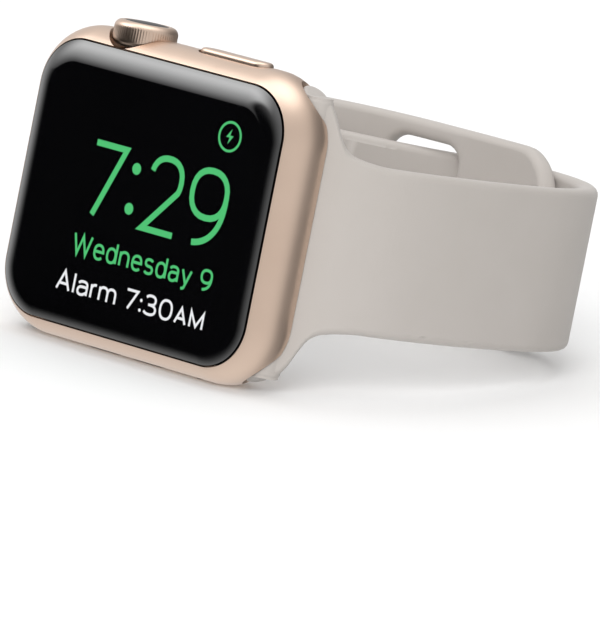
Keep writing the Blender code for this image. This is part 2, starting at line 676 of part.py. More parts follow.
def add_straps():
    long_route, short_route = Route(LONG_ROUTE), Route(SHORT_ROUTE)
    pin_on_long = long_route.distance_at_x(PIN_X + 0.3)
    pin_on_short = short_route.distance_at_x(PIN_X)
    holes = [
        pill(pin_on_long + (index - HOLES_BEFORE_PIN) * HOLE_PITCH, HOLE_ALONG, HOLE_ACROSS)
        for index in range(HOLE_COUNT)
    ]
    keeper_distance = short_route.distance_at_x(KEEPER_X)
    keeper = box_outline(keeper_distance, KEEPER_LENGTH, 2 * KEEPER_HALF_WIDTH, 2.2)
    pin_hole = pill(pin_on_short, 2 * PIN_RADIUS + 0.4, 2 * PIN_RADIUS + 0.4)
    long_strap = bent_strap("long_strap", long_route, long_half_width, holes)
    short_strap = bent_strap("short_strap", short_route, short_half_width, [keeper, pin_hole])
    add_lug(long_strap, 1, "long_strap")
    add_lug(short_strap, -1, "short_strap")
    foot_recess = place_on_route(
        rod("pin_foot_recess", PIN_FOOT_RADIUS + 0.2, 2.0), short_route, pin_on_short,
        -STRAP_THICKNESS / 2 - 1.0 + 0.7,
    )
    combine(short_strap, foot_recess)

    outer_face = 2.85 + STRAP_THICKNESS / 2
    pin = turned("closure_pin", [
        (0, outer_face + 1.1), (1.6, outer_face + 1.05), (2.6, outer_face + 0.8),
        (PIN_HEAD_RADIUS, outer_face + 0.5), (PIN_HEAD_RADIUS, outer_face + 0.35), (PIN_RADIUS, outer_face + 0.3),
        (PIN_RADIUS, -0.55), (PIN_FOOT_RADIUS, -0.6), (PIN_FOOT_RADIUS, -1.0), (0, -1.05),
    ], steps=24)
    finish(place_on_route(pin, short_route, pin_on_short), STEEL)
    for strap in (long_strap, short_strap):
        finish(strap, SILICONE, sharp=50)


def add_release_buttons():
    for side, name in ((1, "release_button_long_side"), (-1, "release_button_short_side")):
        button = plate(name, RELEASE_WIDTH, RELEASE_LENGTH, 0.85, RELEASE_WIDTH / 2 - 0.15, 0.0, 0.2, edge_steps=2)
        finish(place(button, (side * RELEASE_X, RELEASE_BOTTOM + 0.425, 0), FACING_FRONT), GOLD)


# --- Standing ---------------------------------------------------------------------------

def stand_on_floor():
    """Leans the watch back and moves it, so that its base's centre is at the origin."""
    FRAME.rotation_euler = (-LEAN, 0, 0)
    bpy.context.view_layer.update()
    graph = bpy.context.evaluated_depsgraph_get()
    low, high = Vector((1, 1, 1)), Vector((-1, -1, -1))
    for obj in WATCH.objects:
        if obj.type != "MESH":
            continue
        shaped = obj.evaluated_get(graph)
        mesh = shaped.to_mesh()
        for vertex in mesh.vertices:
            point = shaped.matrix_world @ vertex.co
            low = Vector(map(min, low, point))
            high = Vector(map(max, high, point))
        shaped.to_mesh_clear()
    FRAME.location = Vector((-(low.x + high.x) / 2, -(low.y + high.y) / 2, -low.z))


clear_scene()
WATCH = new_collection("smartwatch")
TOOLS = new_collection("cutters")
FRAME = bpy.data.objects.new("watch_frame", None)
WATCH.objects.link(FRAME)

GOLD = new_material("gold_aluminium", (0.75, 0.56, 0.42), 0.35, 1.0)
GLASS = new_material("cover_glass", (0.02, 0.02, 0.02), 0.05)
PANEL = new_material("display_panel", (0.01, 0.01, 0.012), 0.3)
RUBBER = new_material("black_rubber", (0.02, 0.02, 0.02), 0.7)
CERAMIC = new_material("back_ceramic", (0.35, 0.34, 0.33), 0.25)
CRYSTAL = new_material("back_crystal", (0.08, 0.08, 0.085), 0.08)
LENS = new_material("sensor_lens", (0.02, 0.02, 0.03), 0.05)
SILICONE = new_material("stone_silicone", (0.54, 0.49, 0.44), 0.55)
STEEL = new_material("steel", (0.6, 0.6, 0.6), 0.3, 1.0)
BRASS = new_material("brass", (0.75, 0.6, 0.3), 0.3, 1.0)
COPPER = new_material("copper", (0.8, 0.4, 0.25), 0.35, 1.0)
BATTERY = new_material("battery_wrap", (0.03, 0.03, 0.035), 0.5)
RESIN = new_material("black_resin", (0.04, 0.04, 0.045), 0.4)
FLEX = new_material("amber_flex", (0.55, 0.27, 0.06), 0.4)
BOARD = new_material("circuit_board", (0.02, 0.12, 0.06), 0.45)
CAP = new_material("crown_cap", (0.05, 0.045, 0.04), 0.2)

add_case()
add_glass()
add_display()
add_internals()
add_back()
add_crown()
add_side_button()
add_straps()
add_release_buttons()
stand_on_floor()
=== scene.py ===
import json
import math

import bmesh
import bpy
from bpy.props import FloatProperty, FloatVectorProperty, IntProperty, PointerProperty
from mathutils import Matrix, Vector


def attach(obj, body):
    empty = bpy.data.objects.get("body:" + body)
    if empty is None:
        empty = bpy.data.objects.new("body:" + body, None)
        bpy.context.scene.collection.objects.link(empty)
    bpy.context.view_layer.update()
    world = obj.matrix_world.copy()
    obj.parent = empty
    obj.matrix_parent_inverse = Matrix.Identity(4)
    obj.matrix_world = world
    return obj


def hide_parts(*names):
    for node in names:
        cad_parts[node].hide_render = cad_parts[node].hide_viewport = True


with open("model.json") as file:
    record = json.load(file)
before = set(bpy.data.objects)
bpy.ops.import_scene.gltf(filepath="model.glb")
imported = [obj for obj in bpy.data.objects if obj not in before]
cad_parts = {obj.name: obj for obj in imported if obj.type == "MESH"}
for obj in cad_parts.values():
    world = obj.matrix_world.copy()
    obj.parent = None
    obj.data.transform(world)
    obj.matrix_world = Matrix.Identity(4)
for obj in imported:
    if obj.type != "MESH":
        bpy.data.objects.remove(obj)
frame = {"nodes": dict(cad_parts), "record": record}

bl_info = {
    "name": "Smartwatch looks",
    "version": (1, 0, 0),
    "blender": (4, 5, 0),
    "location": "3D View > Sidebar > Smartwatch",
    "description": "Builds the finished surfaces of a smartwatch with a closed silicone band",
    "category": "Add Mesh",
}

# The watch's own axes: X towards the long strap, Y from the display to the wrist, Z to the crown.
# Lengths in the watch's axes are millimetres, and become metres when a mesh is made.
MM = 0.001
NOT_TURNED = (0.0, 0.0, 0.0)
FACING_FRONT = (math.pi / 2, 0.0, 0.0)
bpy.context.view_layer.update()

CASE_LENGTH = 38.6
CASE_HEIGHT = 33.3
CASE_DEPTH = 9.0
CASE_CORNER = 7.2
FRONT_ROUND = 4.4
BACK_ROUND = 4.2
SEAT_LENGTH = 35.3
SEAT_HEIGHT = 30.0
SEAT_CORNER = 5.4
SIDE_LEVEL = 4.6
CROWN_X = -7.5
CROWN_RADIUS = 3.42
CROWN_BOTTOM = 15.2
CROWN_TOP = 17.9
CROWN_CLEARANCE = 0.3
CROWN_FLARE = 1.1
SHAFT_RADIUS = 0.95
CAP_RADIUS = 2.3
BUTTON_X = 5.9
BUTTON_LENGTH = 9.6
BUTTON_WIDTH = 2.6
BUTTON_TOP = 17.05
BUTTON_BOTTOM = 16.05
BUTTON_GAP = 0.23

LUG_X = 16.6
LUG_Y = 6.1
LUG_RADIUS = 1.75
LUG_HALF_LENGTH = 15.0
LUG_END_ROUND = 0.6
LUG_INSET = 0.15
SLOT_CLEARANCE = 0.2
MOUTH_WIDTH = 2.6
MOUTH_REACH = 8.0
MOUTH_ANGLE = math.radians(40)
RELEASE_X = 15.6
RELEASE_WIDTH = 1.9
RELEASE_LENGTH = 5.6
RELEASE_GAP = 0.12
RELEASE_LEVEL = 8.425

BACK_LENGTH = 25.8
BACK_HEIGHT = 25.2
BACK_CORNER = 5.0
BACK_THICKNESS = 0.85
CRYSTAL_RADIUS = 10.4
CRYSTAL_FACE = 10.5
CRYSTAL_SHOULDER = 7.2
COLLAR_RADIUS = 8.8
COLLAR_LEVEL = 8.25
LENS_RADIUS = 2.2
LENS_OFFSET = 3.3

LONG_HALF_WIDTH = 8.85
LONG_TAIL_HALF_WIDTH = 8.0
SHORT_START_HALF_WIDTH = 9.8
SHORT_HALF_WIDTH = 11.0
EAR_HALF_WIDTH = 15.4
# How much of the ear's extra width is left at each distance from the lug.
EAR_SHARES = (
    (0.0, 0.84), (0.6, 0.905), (1.2, 0.89), (1.8, 0.80), (2.4, 0.64), (3.0, 0.44), (3.8, 0.22), (5.0, 0.09),
    (8.0, 0.01), (11.0, 0.0), (14.0, 0.0),
)
EAR_LENGTH = 20.0
NECK_LENGTH = 9.0
NECK_SWELL = 0.35
TIP_LENGTH = 7.5
HOLE_COUNT = 7
HOLE_PITCH = 6.0
HOLE_ALONG = 3.4
HOLE_ACROSS = 4.6
HOLES_BEFORE_PIN = 2
PIN_X = 5.0
PIN_RADIUS = 1.35
PIN_HOLE = 3.1
PIN_HEAD_RADIUS = 2.9
PIN_HEAD_LEVEL = 3.95
PIN_FOOT_RADIUS = 2.5
KEEPER_X = -7.6
KEEPER_LENGTH = 9.8
KEEPER_HALF_WIDTH = 8.9
KEEPER_CORNER = 2.2

# Middle line of each strap, seen from the crown side. It starts at the lug's centre.
LONG_ROUTE = [
    (16.6, 6.1), (18.3, 7.5), (20.75, 10.35), (22.85, 15.0), (24.05, 22.1), (24.35, 30.0),
    (23.4, 39.8), (20.3, 47.7), (14.3, 53.6), (6.8, 56.2), (0.5, 56.6), (-3.6, 55.9),
    (-7.6, 53.4), (-11.6, 50.3), (-15.6, 48.2), (-18.9, 45.2), (-21.1, 41.0), (-21.7, 38.2),
]
SHORT_ROUTE = [
    (-16.6, 6.1), (-18.3, 7.5), (-20.75, 10.35), (-22.85, 15.0), (-24.1, 22.1), (-24.6, 30.0),
    (-24.0, 39.0), (-21.4, 46.4), (-16.6, 51.0), (-10.5, 53.2), (-3.5, 53.7), (4.0, 53.6),
    (9.4, 52.8), (13.2, 51.1),
]

# Display. Signs are drawn on the glass, a hair above it.
SIGN_GAP = 0.135
SMALL_SIGN = 0.84
DOT_HEIGHTS = (0.14, 0.60)
LINE_DOT_SHARE = 0.62
CLOCK_DOT_RADIUS = 0.62
CHARGING_RING_RADIUS = 1.5
GLASS_LIFT = 0.006
STROKE_LIFT = 0.0004

# Camera, in the watch's axes. Degrees and millimetres.
CAMERA_AZIMUTH = 41.15
CAMERA_ELEVATION = 5.53
CAMERA_ROLL = 11.26
CAMERA_DISTANCE = 900.0
CAMERA_RIGHT = 17.09
CAMERA_UP = -11.47
SENSOR_WIDTH = 36.0
FOCAL_LENGTH = 499.304

# Light.
ROOM_LIGHT = 0.68
KEY_DIRECTION = (0.45, -0.78, 0.50)
TOP_DIRECTION = (-0.30, 0.10, 1.0)
# Brightness of the tent from the floor up to straight above.
TENT_STOPS = ((0.0, 0.95), (0.44, 0.85), (0.56, 0.82), (0.72, 0.76), (0.90, 0.95), (1.0, 2.4))


def watch_axes():
    """The matrix from the watch's own axes to the row's, read from the glass face."""
    face = next(m for m in frame["record"]["mounts"] if m["name"] == "glass_face")
    back = -Vector(face["axis"]).normalized()
    right = Vector((1.0, 0.0, 0.0))
    up = right.cross(back)
    matrix = Matrix((right, back, up)).transposed().to_4x4()
    matrix.translation = Vector(face["pos_m"])
    return matrix


WATCH = watch_axes()


# --- Settings ------------------------------------------------------------------------

class WatchSizes(bpy.types.PropertyGroup):
    """Sizes of the finished surfaces."""

    knurl_teeth: IntProperty(
        name="Crown ridges", description="Ridges round the crown's rim", default=72, min=24, max=160,
    )
    knurl_depth: FloatProperty(
        name="Ridge depth", description="Depth of the crown's ridges", default=0.05 * MM,
        unit="LENGTH", precision=5,
    )
    strap_thickness: FloatProperty(
        name="Strap thickness", description="Thickness of both straps", default=2.2 * MM,
        unit="LENGTH", precision=4,
    )
    strap_edge: FloatProperty(
        name="Strap edge rounding", description="Radius of the straps' long edges", default=0.85 * MM,
        unit="LENGTH", precision=4,
    )
    glass_gap: FloatProperty(
        name="Glass gap", description="Gap round the cover glass", default=0.2 * MM,
        unit="LENGTH", precision=5,
    )
    clock_stroke: FloatProperty(
        name="Clock stroke", description="Stroke width of the clock's numerals", default=0.67 * MM,
        unit="LENGTH", precision=5,
    )


def colour_property(name, description, default):
    return FloatVectorProperty(
        name=name, description=description, default=default, subtype="COLOR", size=3, min=0.0, max=1.0,
    )


class WatchColours(bpy.types.PropertyGroup):
    """Colours of the finished surfaces, in linear light."""

    gold_light: colour_property("Gold, light", "Lighter tone of the anodised case", (0.745, 0.58, 0.47))
    gold_deep: colour_property("Gold, deep", "Deeper tone of the anodised case", (0.69, 0.525, 0.42))
    strap_light: colour_property("Strap, light", "Lighter tone of the silicone", (0.445, 0.412, 0.385))
    strap_deep: colour_property("Strap, deep", "Deeper tone of the silicone", (0.42, 0.388, 0.358))
    clock_green: colour_property("Clock green", "Light of the clock's numerals", (0.085, 0.56, 0.185))
    alarm_white: colour_property("Alarm white", "Light of the alarm line", (0.85, 0.86, 0.88))
    glass_black: colour_property("Glass black", "Black behind the cover glass", (0.0015, 0.0015, 0.0018))
    floor_tone: colour_property("Floor", "Pale floor", (0.90, 0.90, 0.90))


def sizes():
    return bpy.context.scene.watch_sizes


def colours():
    return bpy.context.scene.watch_colours


# --- Mesh tools ------------------------------------------------------------------------

def place(obj, centre=(0.0, 0.0, 0.0), turn=NOT_TURNED):
    """Puts an object at a point of the watch, in millimetres."""
    about_x, about_y, about_z = (Matrix.Rotation(angle, 4, axis) for angle, axis in zip(turn, "XYZ"))
    obj.matrix_world = WATCH @ Matrix.Translation(Vector(centre) * MM) @ about_z @ about_y @ about_x
    return obj


def linked(data, name):
    """Puts a mesh, lamp or camera in the scene as an object."""
    obj = bpy.data.objects.new(name, data)
    bpy.context.scene.collection.objects.link(obj)
    return obj


def mesh_from(bm, name):
    """Turns a bmesh in metres into a mesh, and frees it."""
    mesh = bpy.data.meshes.new(name)
    bm.to_mesh(mesh)
    bm.free()
    return mesh


def object_from(bm, name):
    """Turns a closed bmesh in millimetres into an object."""
    bmesh.ops.recalc_face_normals(bm, faces=bm.faces[:])
    if bm.calc_volume(signed=True) < 0:
        bmesh.ops.reverse_faces(bm, faces=bm.faces[:])
    bmesh.ops.scale(bm, vec=(MM, MM, MM), verts=bm.verts[:])
    return linked(mesh_from(bm, name), name)


def remove(obj):
    mesh = obj.data
    bpy.data.objects.remove(obj)
    bpy.data.meshes.remove(mesh)


def settle(obj):
    """Applies an object's modifiers to its mesh."""
    bpy.context.view_layer.update()
    graph = bpy.context.evaluated_depsgraph_get()
    mesh = bpy.data.meshes.new_from_object(obj.evaluated_get(graph))
    obj.modifiers.clear()
    old = obj.data
    obj.data = mesh
    bpy.data.meshes.remove(old)
    mesh.name = obj.name
    return obj


def combine(target, tools, operation="DIFFERENCE"):
    """Cuts, joins or intersects target with each tool, and removes the tools."""
    for tool in tools:
        modifier = target.modifiers.new("Combine", "BOOLEAN")
        modifier.operation = operation
        modifier.solver = "EXACT"
        modifier.object = tool
    settle(target)
    for tool in tools:
        remove(tool)
    return target


def joined(target, piece):
    """Puts both pieces in one mesh as they are, without cutting one with the other."""
    bm = bmesh.new()
    bm.from_mesh(target.data)
    piece.data.transform(target.matrix_world.inverted() @ piece.matrix_world)
    bm.from_mesh(piece.data)
    bm.to_mesh(target.data)
    bm.free()
    remove(piece)
    return target


def break_edges(obj, width, segments, angle):
    """Rounds off an object's sharp edges by a hair's width."""
    edge = obj.modifiers.new("Broken_edges", "BEVEL")
    edge.width = width * MM
    edge.segments = segments
    edge.limit_method = "ANGLE"
    edge.angle_limit = math.radians(angle)
    return obj


def smooth(obj, sharp=30.0, weighted=True):
    """Shades an object smoothly. Edges beyond the sharp angle stay sharp, and flats stay flat."""
    obj.data.shade_smooth()
    obj.data.set_sharp_from_angle(angle=math.radians(sharp))
    if weighted:
        modifier = obj.modifiers.new("Flat_faces_stay_flat", "WEIGHTED_NORMAL")
        modifier.keep_sharp = True
        modifier.weight = 80
    return obj


def plate(name, length, height, depth, corner=0.0, front=0.0, back=0.0, corner_steps=12, edge_steps=6):
    """A flat box facing its own +Z, with rounded corners and rounded front and back edges."""
    bm = bmesh.new()
    bmesh.ops.create_cube(bm, size=1.0)
    bmesh.ops.scale(bm, vec=(length, height, depth), verts=bm.verts[:])
    if corner:
        upright = [e for e in bm.edges if abs(e.verts[0].co.z - e.verts[1].co.z) > depth / 2]
        bmesh.ops.bevel(bm, geom=upright, offset=corner, segments=corner_steps, profile=0.5, affect="EDGES")
    for level, radius in ((depth / 2, front), (-depth / 2, back)):
        if radius:
            rim = [
                e for e in bm.edges
                if all(abs(v.co.z - level) < 1e-4 for v in e.verts)
                and any(abs(f.normal.z) < 0.5 for f in e.link_faces)
            ]
            bmesh.ops.bevel(bm, geom=rim, offset=radius, segments=edge_steps, profile=0.5, affect="EDGES")
    return object_from(bm, name)


def rod(name, radius, length, steps=64):
    """A round bar along its own Z."""
    bm = bmesh.new()
    bmesh.ops.create_cone(bm, cap_ends=True, segments=steps, radius1=radius, radius2=radius, depth=length)
    return object_from(bm, name)


def turned(name, profile, steps=96, closed=False, shape=None):
    """A turned piece from (radius, height) points. shape(radius, height, angle) may change a radius."""
    bm = bmesh.new()
    columns = []
    for step in range(steps):
        angle = math.tau * step / steps
        column = []
        for radius, height in profile:
            if radius < 1e-6:
                column.append(None)
                continue
            reach = shape(radius, height, angle) if shape else radius
            column.append(bm.verts.new((reach * math.cos(angle), reach * math.sin(angle), height)))
        columns.append(column)
    poles = {
        index: bm.verts.new((0.0, 0.0, height))
        for index, (radius, height) in enumerate(profile) if radius < 1e-6
    }
    count = len(profile)
    spans = [(i, (i + 1) % count) for i in range(count if closed else count - 1)]
    for step in range(steps):
        here, after = columns[step], columns[(step + 1) % steps]
        for top, bottom in spans:
            ring = [here[top] or poles[top], here[bottom] or poles[bottom]]
            ring += [after[bottom] or poles[bottom], after[top] or poles[top]]
            unique = list(dict.fromkeys(ring))
            if len(unique) > 2:
                bm.faces.new(unique)
    return object_from(bm, name)


def arc(centre, radius, start, end, steps=6):
    """Points on an arc, with angles in degrees."""
    return [
        (centre[0] + radius * math.cos(math.radians(a)), centre[1] + radius * math.sin(math.radians(a)))
        for a in (start + (end - start) * step / steps for step in range(steps + 1))
    ]


def well(name, length, height, corner, front, back, **steps):
    """A solid with a rounded outline that runs from one depth of the watch to another."""
    block = plate(name, length, height, back - front, corner, **steps)
    return place(block, (0, (front + back) / 2, 0), FACING_FRONT)


def paint(mesh, material):
    mesh.materials.clear()
    mesh.materials.append(material)


def dress(obj, material, body, slot, *replaced):
    """Gives a finished piece its material and its body, and hides the CAD nodes it stands for. slot is not
    used.
    """
    obj.data.transform(obj.matrix_world)
    obj.matrix_world = Matrix.Identity(4)
    paint(obj.data, material)
    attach(obj, body)
    if replaced:
        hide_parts(*replaced)
    return obj


# --- Materials ---------------------------------------------------------------------------

def put(tree, kind, values=None, **settings):
    """Adds a node, with plain values for its named inputs."""
    node = tree.nodes.new(kind)
    for key, value in settings.items():
        setattr(node, key, value)
    for key, value in (values or {}).items():
        node.inputs[key].default_value = value
    return node


def grain_group():
    """Fine grain and slow clouds that more than one finish uses."""
    name = "Surface grain"
    if name in bpy.data.node_groups:
        return bpy.data.node_groups[name]
    group = bpy.data.node_groups.new(name, "ShaderNodeTree")
    face = group.interface
    face.new_socket("Vector", in_out="INPUT", socket_type="NodeSocketVector")
    fine = face.new_socket("Grain scale", in_out="INPUT", socket_type="NodeSocketFloat")
    fine.default_value = 9000.0
    slow = face.new_socket("Cloud scale", in_out="INPUT", socket_type="NodeSocketFloat")
    slow.default_value = 120.0
    face.new_socket("Height", in_out="OUTPUT", socket_type="NodeSocketFloat")
    face.new_socket("Cloud", in_out="OUTPUT", socket_type="NodeSocketFloat")
    inside = put(group, "NodeGroupInput")
    out = put(group, "NodeGroupOutput")
    grain = put(group, "ShaderNodeTexNoise", {"Detail": 2.0, "Roughness": 0.6})
    speck = put(group, "ShaderNodeTexVoronoi", {"Randomness": 1.0})
    cloud = put(group, "ShaderNodeTexNoise", {"Detail": 4.0, "Roughness": 0.55})
    both = put(group, "ShaderNodeMath", operation="MULTIPLY_ADD")
    both.inputs[1].default_value = 0.35
    spread = put(group, "ShaderNodeMapRange", {"From Min": 0.3, "From Max": 0.7})
    for texture, scale in ((grain, "Grain scale"), (speck, "Grain scale"), (cloud, "Cloud scale")):
        group.links.new(inside.outputs["Vector"], texture.inputs["Vector"])
        group.links.new(inside.outputs[scale], texture.inputs["Scale"])
    group.links.new(speck.outputs["Distance"], both.inputs[0])
    group.links.new(grain.outputs["Fac"], both.inputs[2])
    group.links.new(cloud.outputs["Fac"], spread.inputs["Value"])
    group.links.new(both.outputs[0], out.inputs["Height"])
    group.links.new(spread.outputs["Result"], out.inputs["Cloud"])
    return group


def lines_group():
    """Fine parallel lines, for brushed and turned metal and wound wire."""
    name = "Tool lines"
    if name in bpy.data.node_groups:
        return bpy.data.node_groups[name]
    group = bpy.data.node_groups.new(name, "ShaderNodeTree")
    face = group.interface
    face.new_socket("Vector", in_out="INPUT", socket_type="NodeSocketVector")
    pitch = face.new_socket("Line scale", in_out="INPUT", socket_type="NodeSocketFloat")
    pitch.default_value = 3000.0
    face.new_socket("Height", in_out="OUTPUT", socket_type="NodeSocketFloat")
    inside = put(group, "NodeGroupInput")
    out = put(group, "NodeGroupOutput")
    squeeze = put(group, "ShaderNodeVectorMath", operation="MULTIPLY")
    squeeze.inputs[1].default_value = (0.02, 1.0, 1.0)
    streaks = put(group, "ShaderNodeTexNoise", {"Detail": 3.0, "Roughness": 0.7})
    group.links.new(inside.outputs["Vector"], squeeze.inputs[0])
    group.links.new(squeeze.outputs[0], streaks.inputs["Vector"])
    group.links.new(inside.outputs["Line scale"], streaks.inputs["Scale"])
    group.links.new(streaks.outputs["Fac"], out.inputs["Height"])
    return group


def finish_material(
    name, deep, light, rough, metallic=0.0, grain=9000.0, cloud=120.0, depth=0.01, lines=0.0, **sockets
):
    """A finish with two tones, uneven gloss and a fine relief. depth is the relief in millimetres.

    A finish with lines has tool marks for its relief. sockets are plain values of the shader.
    """
    if name in bpy.data.materials:
        return bpy.data.materials[name]
    material = bpy.data.materials.new(name)
    material.use_nodes = True
    tree = material.node_tree
    shader = tree.nodes["Principled BSDF"]
    shader.inputs["Metallic"].default_value = metallic
    for key, value in sockets.items():
        shader.inputs[key.replace("_", " ")].default_value = value
    where = put(tree, "ShaderNodeTexCoord")
    surface = put(tree, "ShaderNodeGroup", node_tree=grain_group())
    surface.inputs["Grain scale"].default_value = grain
    surface.inputs["Cloud scale"].default_value = cloud
    tone = put(tree, "ShaderNodeMix", data_type="RGBA")
    tone.inputs["A"].default_value = (*deep, 1.0)
    tone.inputs["B"].default_value = (*light, 1.0)
    gloss = put(tree, "ShaderNodeMapRange", {"To Min": rough[0], "To Max": rough[1]})
    relief = put(tree, "ShaderNodeBump", {"Strength": 1.0, "Distance": depth * MM})
    tree.links.new(where.outputs["Object"], surface.inputs["Vector"])
    tree.links.new(surface.outputs["Cloud"], tone.inputs["Factor"])
    tree.links.new(surface.outputs["Cloud"], gloss.inputs["Value"])
    tree.links.new(tone.outputs["Result"], shader.inputs["Base Color"])
    tree.links.new(gloss.outputs["Result"], shader.inputs["Roughness"])
    height = surface.outputs["Height"]
    if lines:
        tooling = put(tree, "ShaderNodeGroup", node_tree=lines_group())
        tooling.inputs["Line scale"].default_value = lines
        tree.links.new(where.outputs["Object"], tooling.inputs["Vector"])
        height = tooling.outputs["Height"]
    tree.links.new(height, relief.inputs["Height"])
    tree.links.new(relief.outputs["Normal"], shader.inputs["Normal"])
    return material


def light_material(name, colour):
    """Lit dots of the display: a fine grid with slightly darker gaps."""
    if name in bpy.data.materials:
        return bpy.data.materials[name]
    material = bpy.data.materials.new(name)
    material.use_nodes = True
    tree = material.node_tree
    shader = tree.nodes["Principled BSDF"]
    shader.inputs["Base Color"].default_value = (0.002, 0.002, 0.002, 1.0)
    shader.inputs["Roughness"].default_value = 0.04
    shader.inputs["Emission Strength"].default_value = 1.0
    where = put(tree, "ShaderNodeTexCoord")
    grid = put(tree, "ShaderNodeTexWave", {"Scale": 4000.0, "Distortion": 0.0}, bands_direction="X")
    rows = put(tree, "ShaderNodeTexWave", {"Scale": 4000.0, "Distortion": 0.0}, bands_direction="Z")
    both = put(tree, "ShaderNodeMath", operation="MULTIPLY")
    tone = put(tree, "ShaderNodeMix", data_type="RGBA")
    tone.inputs["A"].default_value = (*[0.94 * c for c in colour], 1.0)
    tone.inputs["B"].default_value = (*colour, 1.0)
    for texture, socket in ((grid, 0), (rows, 1)):
        tree.links.new(where.outputs["Object"], texture.inputs["Vector"])
        tree.links.new(texture.outputs["Fac"], both.inputs[socket])
    tree.links.new(both.outputs[0], tone.inputs["Factor"])
    tree.links.new(tone.outputs["Result"], shader.inputs["Emission Color"])
    return material


def gold():
    tint = colours()
    return finish_material(
        "Gold bead blasted aluminium", tint.gold_deep, tint.gold_light, rough=(0.30, 0.36), metallic=1.0,
        grain=14000.0, cloud=90.0, depth=0.004,
    )


def silicone():
    tint = colours()
    return finish_material(
        "Stone silicone", tint.strap_deep, tint.strap_light, rough=(0.48, 0.58), grain=7000.0, cloud=60.0,
        depth=0.006, Sheen_Weight=0.15, Sheen_Roughness=0.5,
    )


def steel():
    return finish_material(
        "Turned steel", (0.48, 0.48, 0.49), (0.60, 0.60, 0.61), rough=(0.22, 0.34), metallic=1.0,
        lines=5000.0, depth=0.006,
    )


def black_rubber():
    return finish_material(
        "Black rubber", (0.012, 0.012, 0.012), (0.022, 0.022, 0.022), rough=(0.6, 0.75), grain=5000.0,
        depth=0.02,
    )


# --- Straps -------------------------------------------------------------------------------

def smooth_route(points, spacing=0.25):
    """Evenly spaced points on a smooth curve through the given points."""
    ends = [2 * Vector(points[0]) - Vector(points[1])], [2 * Vector(points[-1]) - Vector(points[-2])]
    knots = ends[0] + [Vector(p) for p in points] + ends[1]
    curve = []
    for before, start, end, after in zip(knots, knots[1:], knots[2:], knots[3:]):
        for step in range(16):
            t = step / 16
            curve.append(0.5 * (
                2 * start + (end - before) * t + (2 * before - 5 * start + 4 * end - after) * t * t
                + (3 * start - before - 3 * end + after) * t ** 3
            ))
    curve.append(knots[-2])
    even, left = [curve[0]], spacing
    for start, end in zip(curve, curve[1:]):
        length = (end - start).length
        position = left
        while position <= length:
            even.append(start.lerp(end, position / length))
            position += spacing
        left = position - length
    return even, spacing


class Route:
    """A strap's middle line, read by the distance from its lug."""

    def __init__(self, points):
        self.points, self.spacing = smooth_route(points)
        self.length = (len(self.points) - 1) * self.spacing

    def at(self, distance):
        place_on = min(max(distance / self.spacing, 0), len(self.points) - 1.001)
        index = int(place_on)
        return self.points[index].lerp(self.points[index + 1], place_on - index)

    def direction(self, distance):
        return (self.at(distance + 0.9) - self.at(distance - 0.9)).normalized()

    def distance_at_x(self, x):
        """The furthest distance at which the route is at this X."""
        nearest = min(range(len(self.points)), key=lambda i: (abs(self.points[i].x - x), -i))
        return nearest * self.spacing


def blend_between(low, high, share):
    """A soft change from low to high while share goes from 0 to 1."""
    share = min(max(share, 0), 1)
    return low + (high - low) * share * share * (3 - 2 * share)


def ear_half_width(distance, strap_half_width):
    """Half the strap's width near its lug, where an ear follows the case's rounded corner."""
    index = max(i for i, (start, _) in enumerate(EAR_SHARES[:-1]) if start <= distance or i == 0)
    (start, first), (end, last) = EAR_SHARES[index], EAR_SHARES[index + 1]
    before, after = EAR_SHARES[max(index - 1, 0)], EAR_SHARES[min(index + 2, len(EAR_SHARES) - 1)]
    span = end - start
    t = min((distance - start) / span, 1)
    leave = (last - before[1]) / (end - before[0]) * span
    arrive = (after[1] - first) / (after[0] - start) * span
    share = (2 * t ** 3 - 3 * t ** 2 + 1) * first + (t ** 3 - 2 * t ** 2 + t) * leave
    share += (3 * t ** 2 - 2 * t ** 3) * last + (t ** 3 - t ** 2) * arrive
    return strap_half_width + (EAR_HALF_WIDTH - strap_half_width) * share


def tip_factor(distance, length, round_length):
    """How much of the full width is left near a rounded tip."""
    past = max(0.0, distance - (length - round_length)) / round_length
    return math.sqrt(max(0.0, 1 - past * past))


def long_half_width(distance, length):
    if distance < EAR_LENGTH:
        return ear_half_width(distance, LONG_HALF_WIDTH)
    taper = blend_between(LONG_HALF_WIDTH, LONG_TAIL_HALF_WIDTH, (distance - 60) / 15)
    return taper * tip_factor(distance, length, TIP_LENGTH)


def short_half_width(distance, length):
    if distance < EAR_LENGTH:
        return ear_half_width(distance, SHORT_START_HALF_WIDTH)
    widened = blend_between(SHORT_START_HALF_WIDTH, SHORT_HALF_WIDTH, (distance - EAR_LENGTH) / 25)
    return widened * tip_factor(distance, length, TIP_LENGTH)


def round_box(centre, along, across, corner, steps=6):
    """Points round a rectangle with rounded corners."""
    points = []
    for quarter, (sx, sy) in enumerate(((1, 1), (-1, 1), (-1, -1), (1, -1))):
        for step in range(steps + 1):
            angle = math.pi / 2 * (quarter + step / steps)
            point = Vector((
                centre + sx * (along / 2 - corner) + corner * math.cos(angle),
                sy * (across / 2 - corner) + corner * math.sin(angle),
            ))
            if not points or (point - points[-1]).length > 1e-3:
                points.append(point)
    if (points[0] - points[-1]).length < 1e-3:
        points.pop()
    return points


def strap_outline(length, half_width):
    """Points round a strap laid flat, closer together at its ear and its tip."""
    tip_start = length - TIP_LENGTH
    flare = [step * 0.25 for step in range(24)] + [6 + step * 0.75 for step in range(12)]
    middle = [15 + (tip_start - 15) * step / 16 for step in range(17)]
    tip = [tip_start + TIP_LENGTH * math.sin(math.radians(86) * (step + 1) / 14) for step in range(14)]
    side = [(s, half_width(s, length)) for s in flare + middle + tip]
    return [Vector((s, -w)) for s, w in side] + [Vector((s, w)) for s, w in reversed(side)]


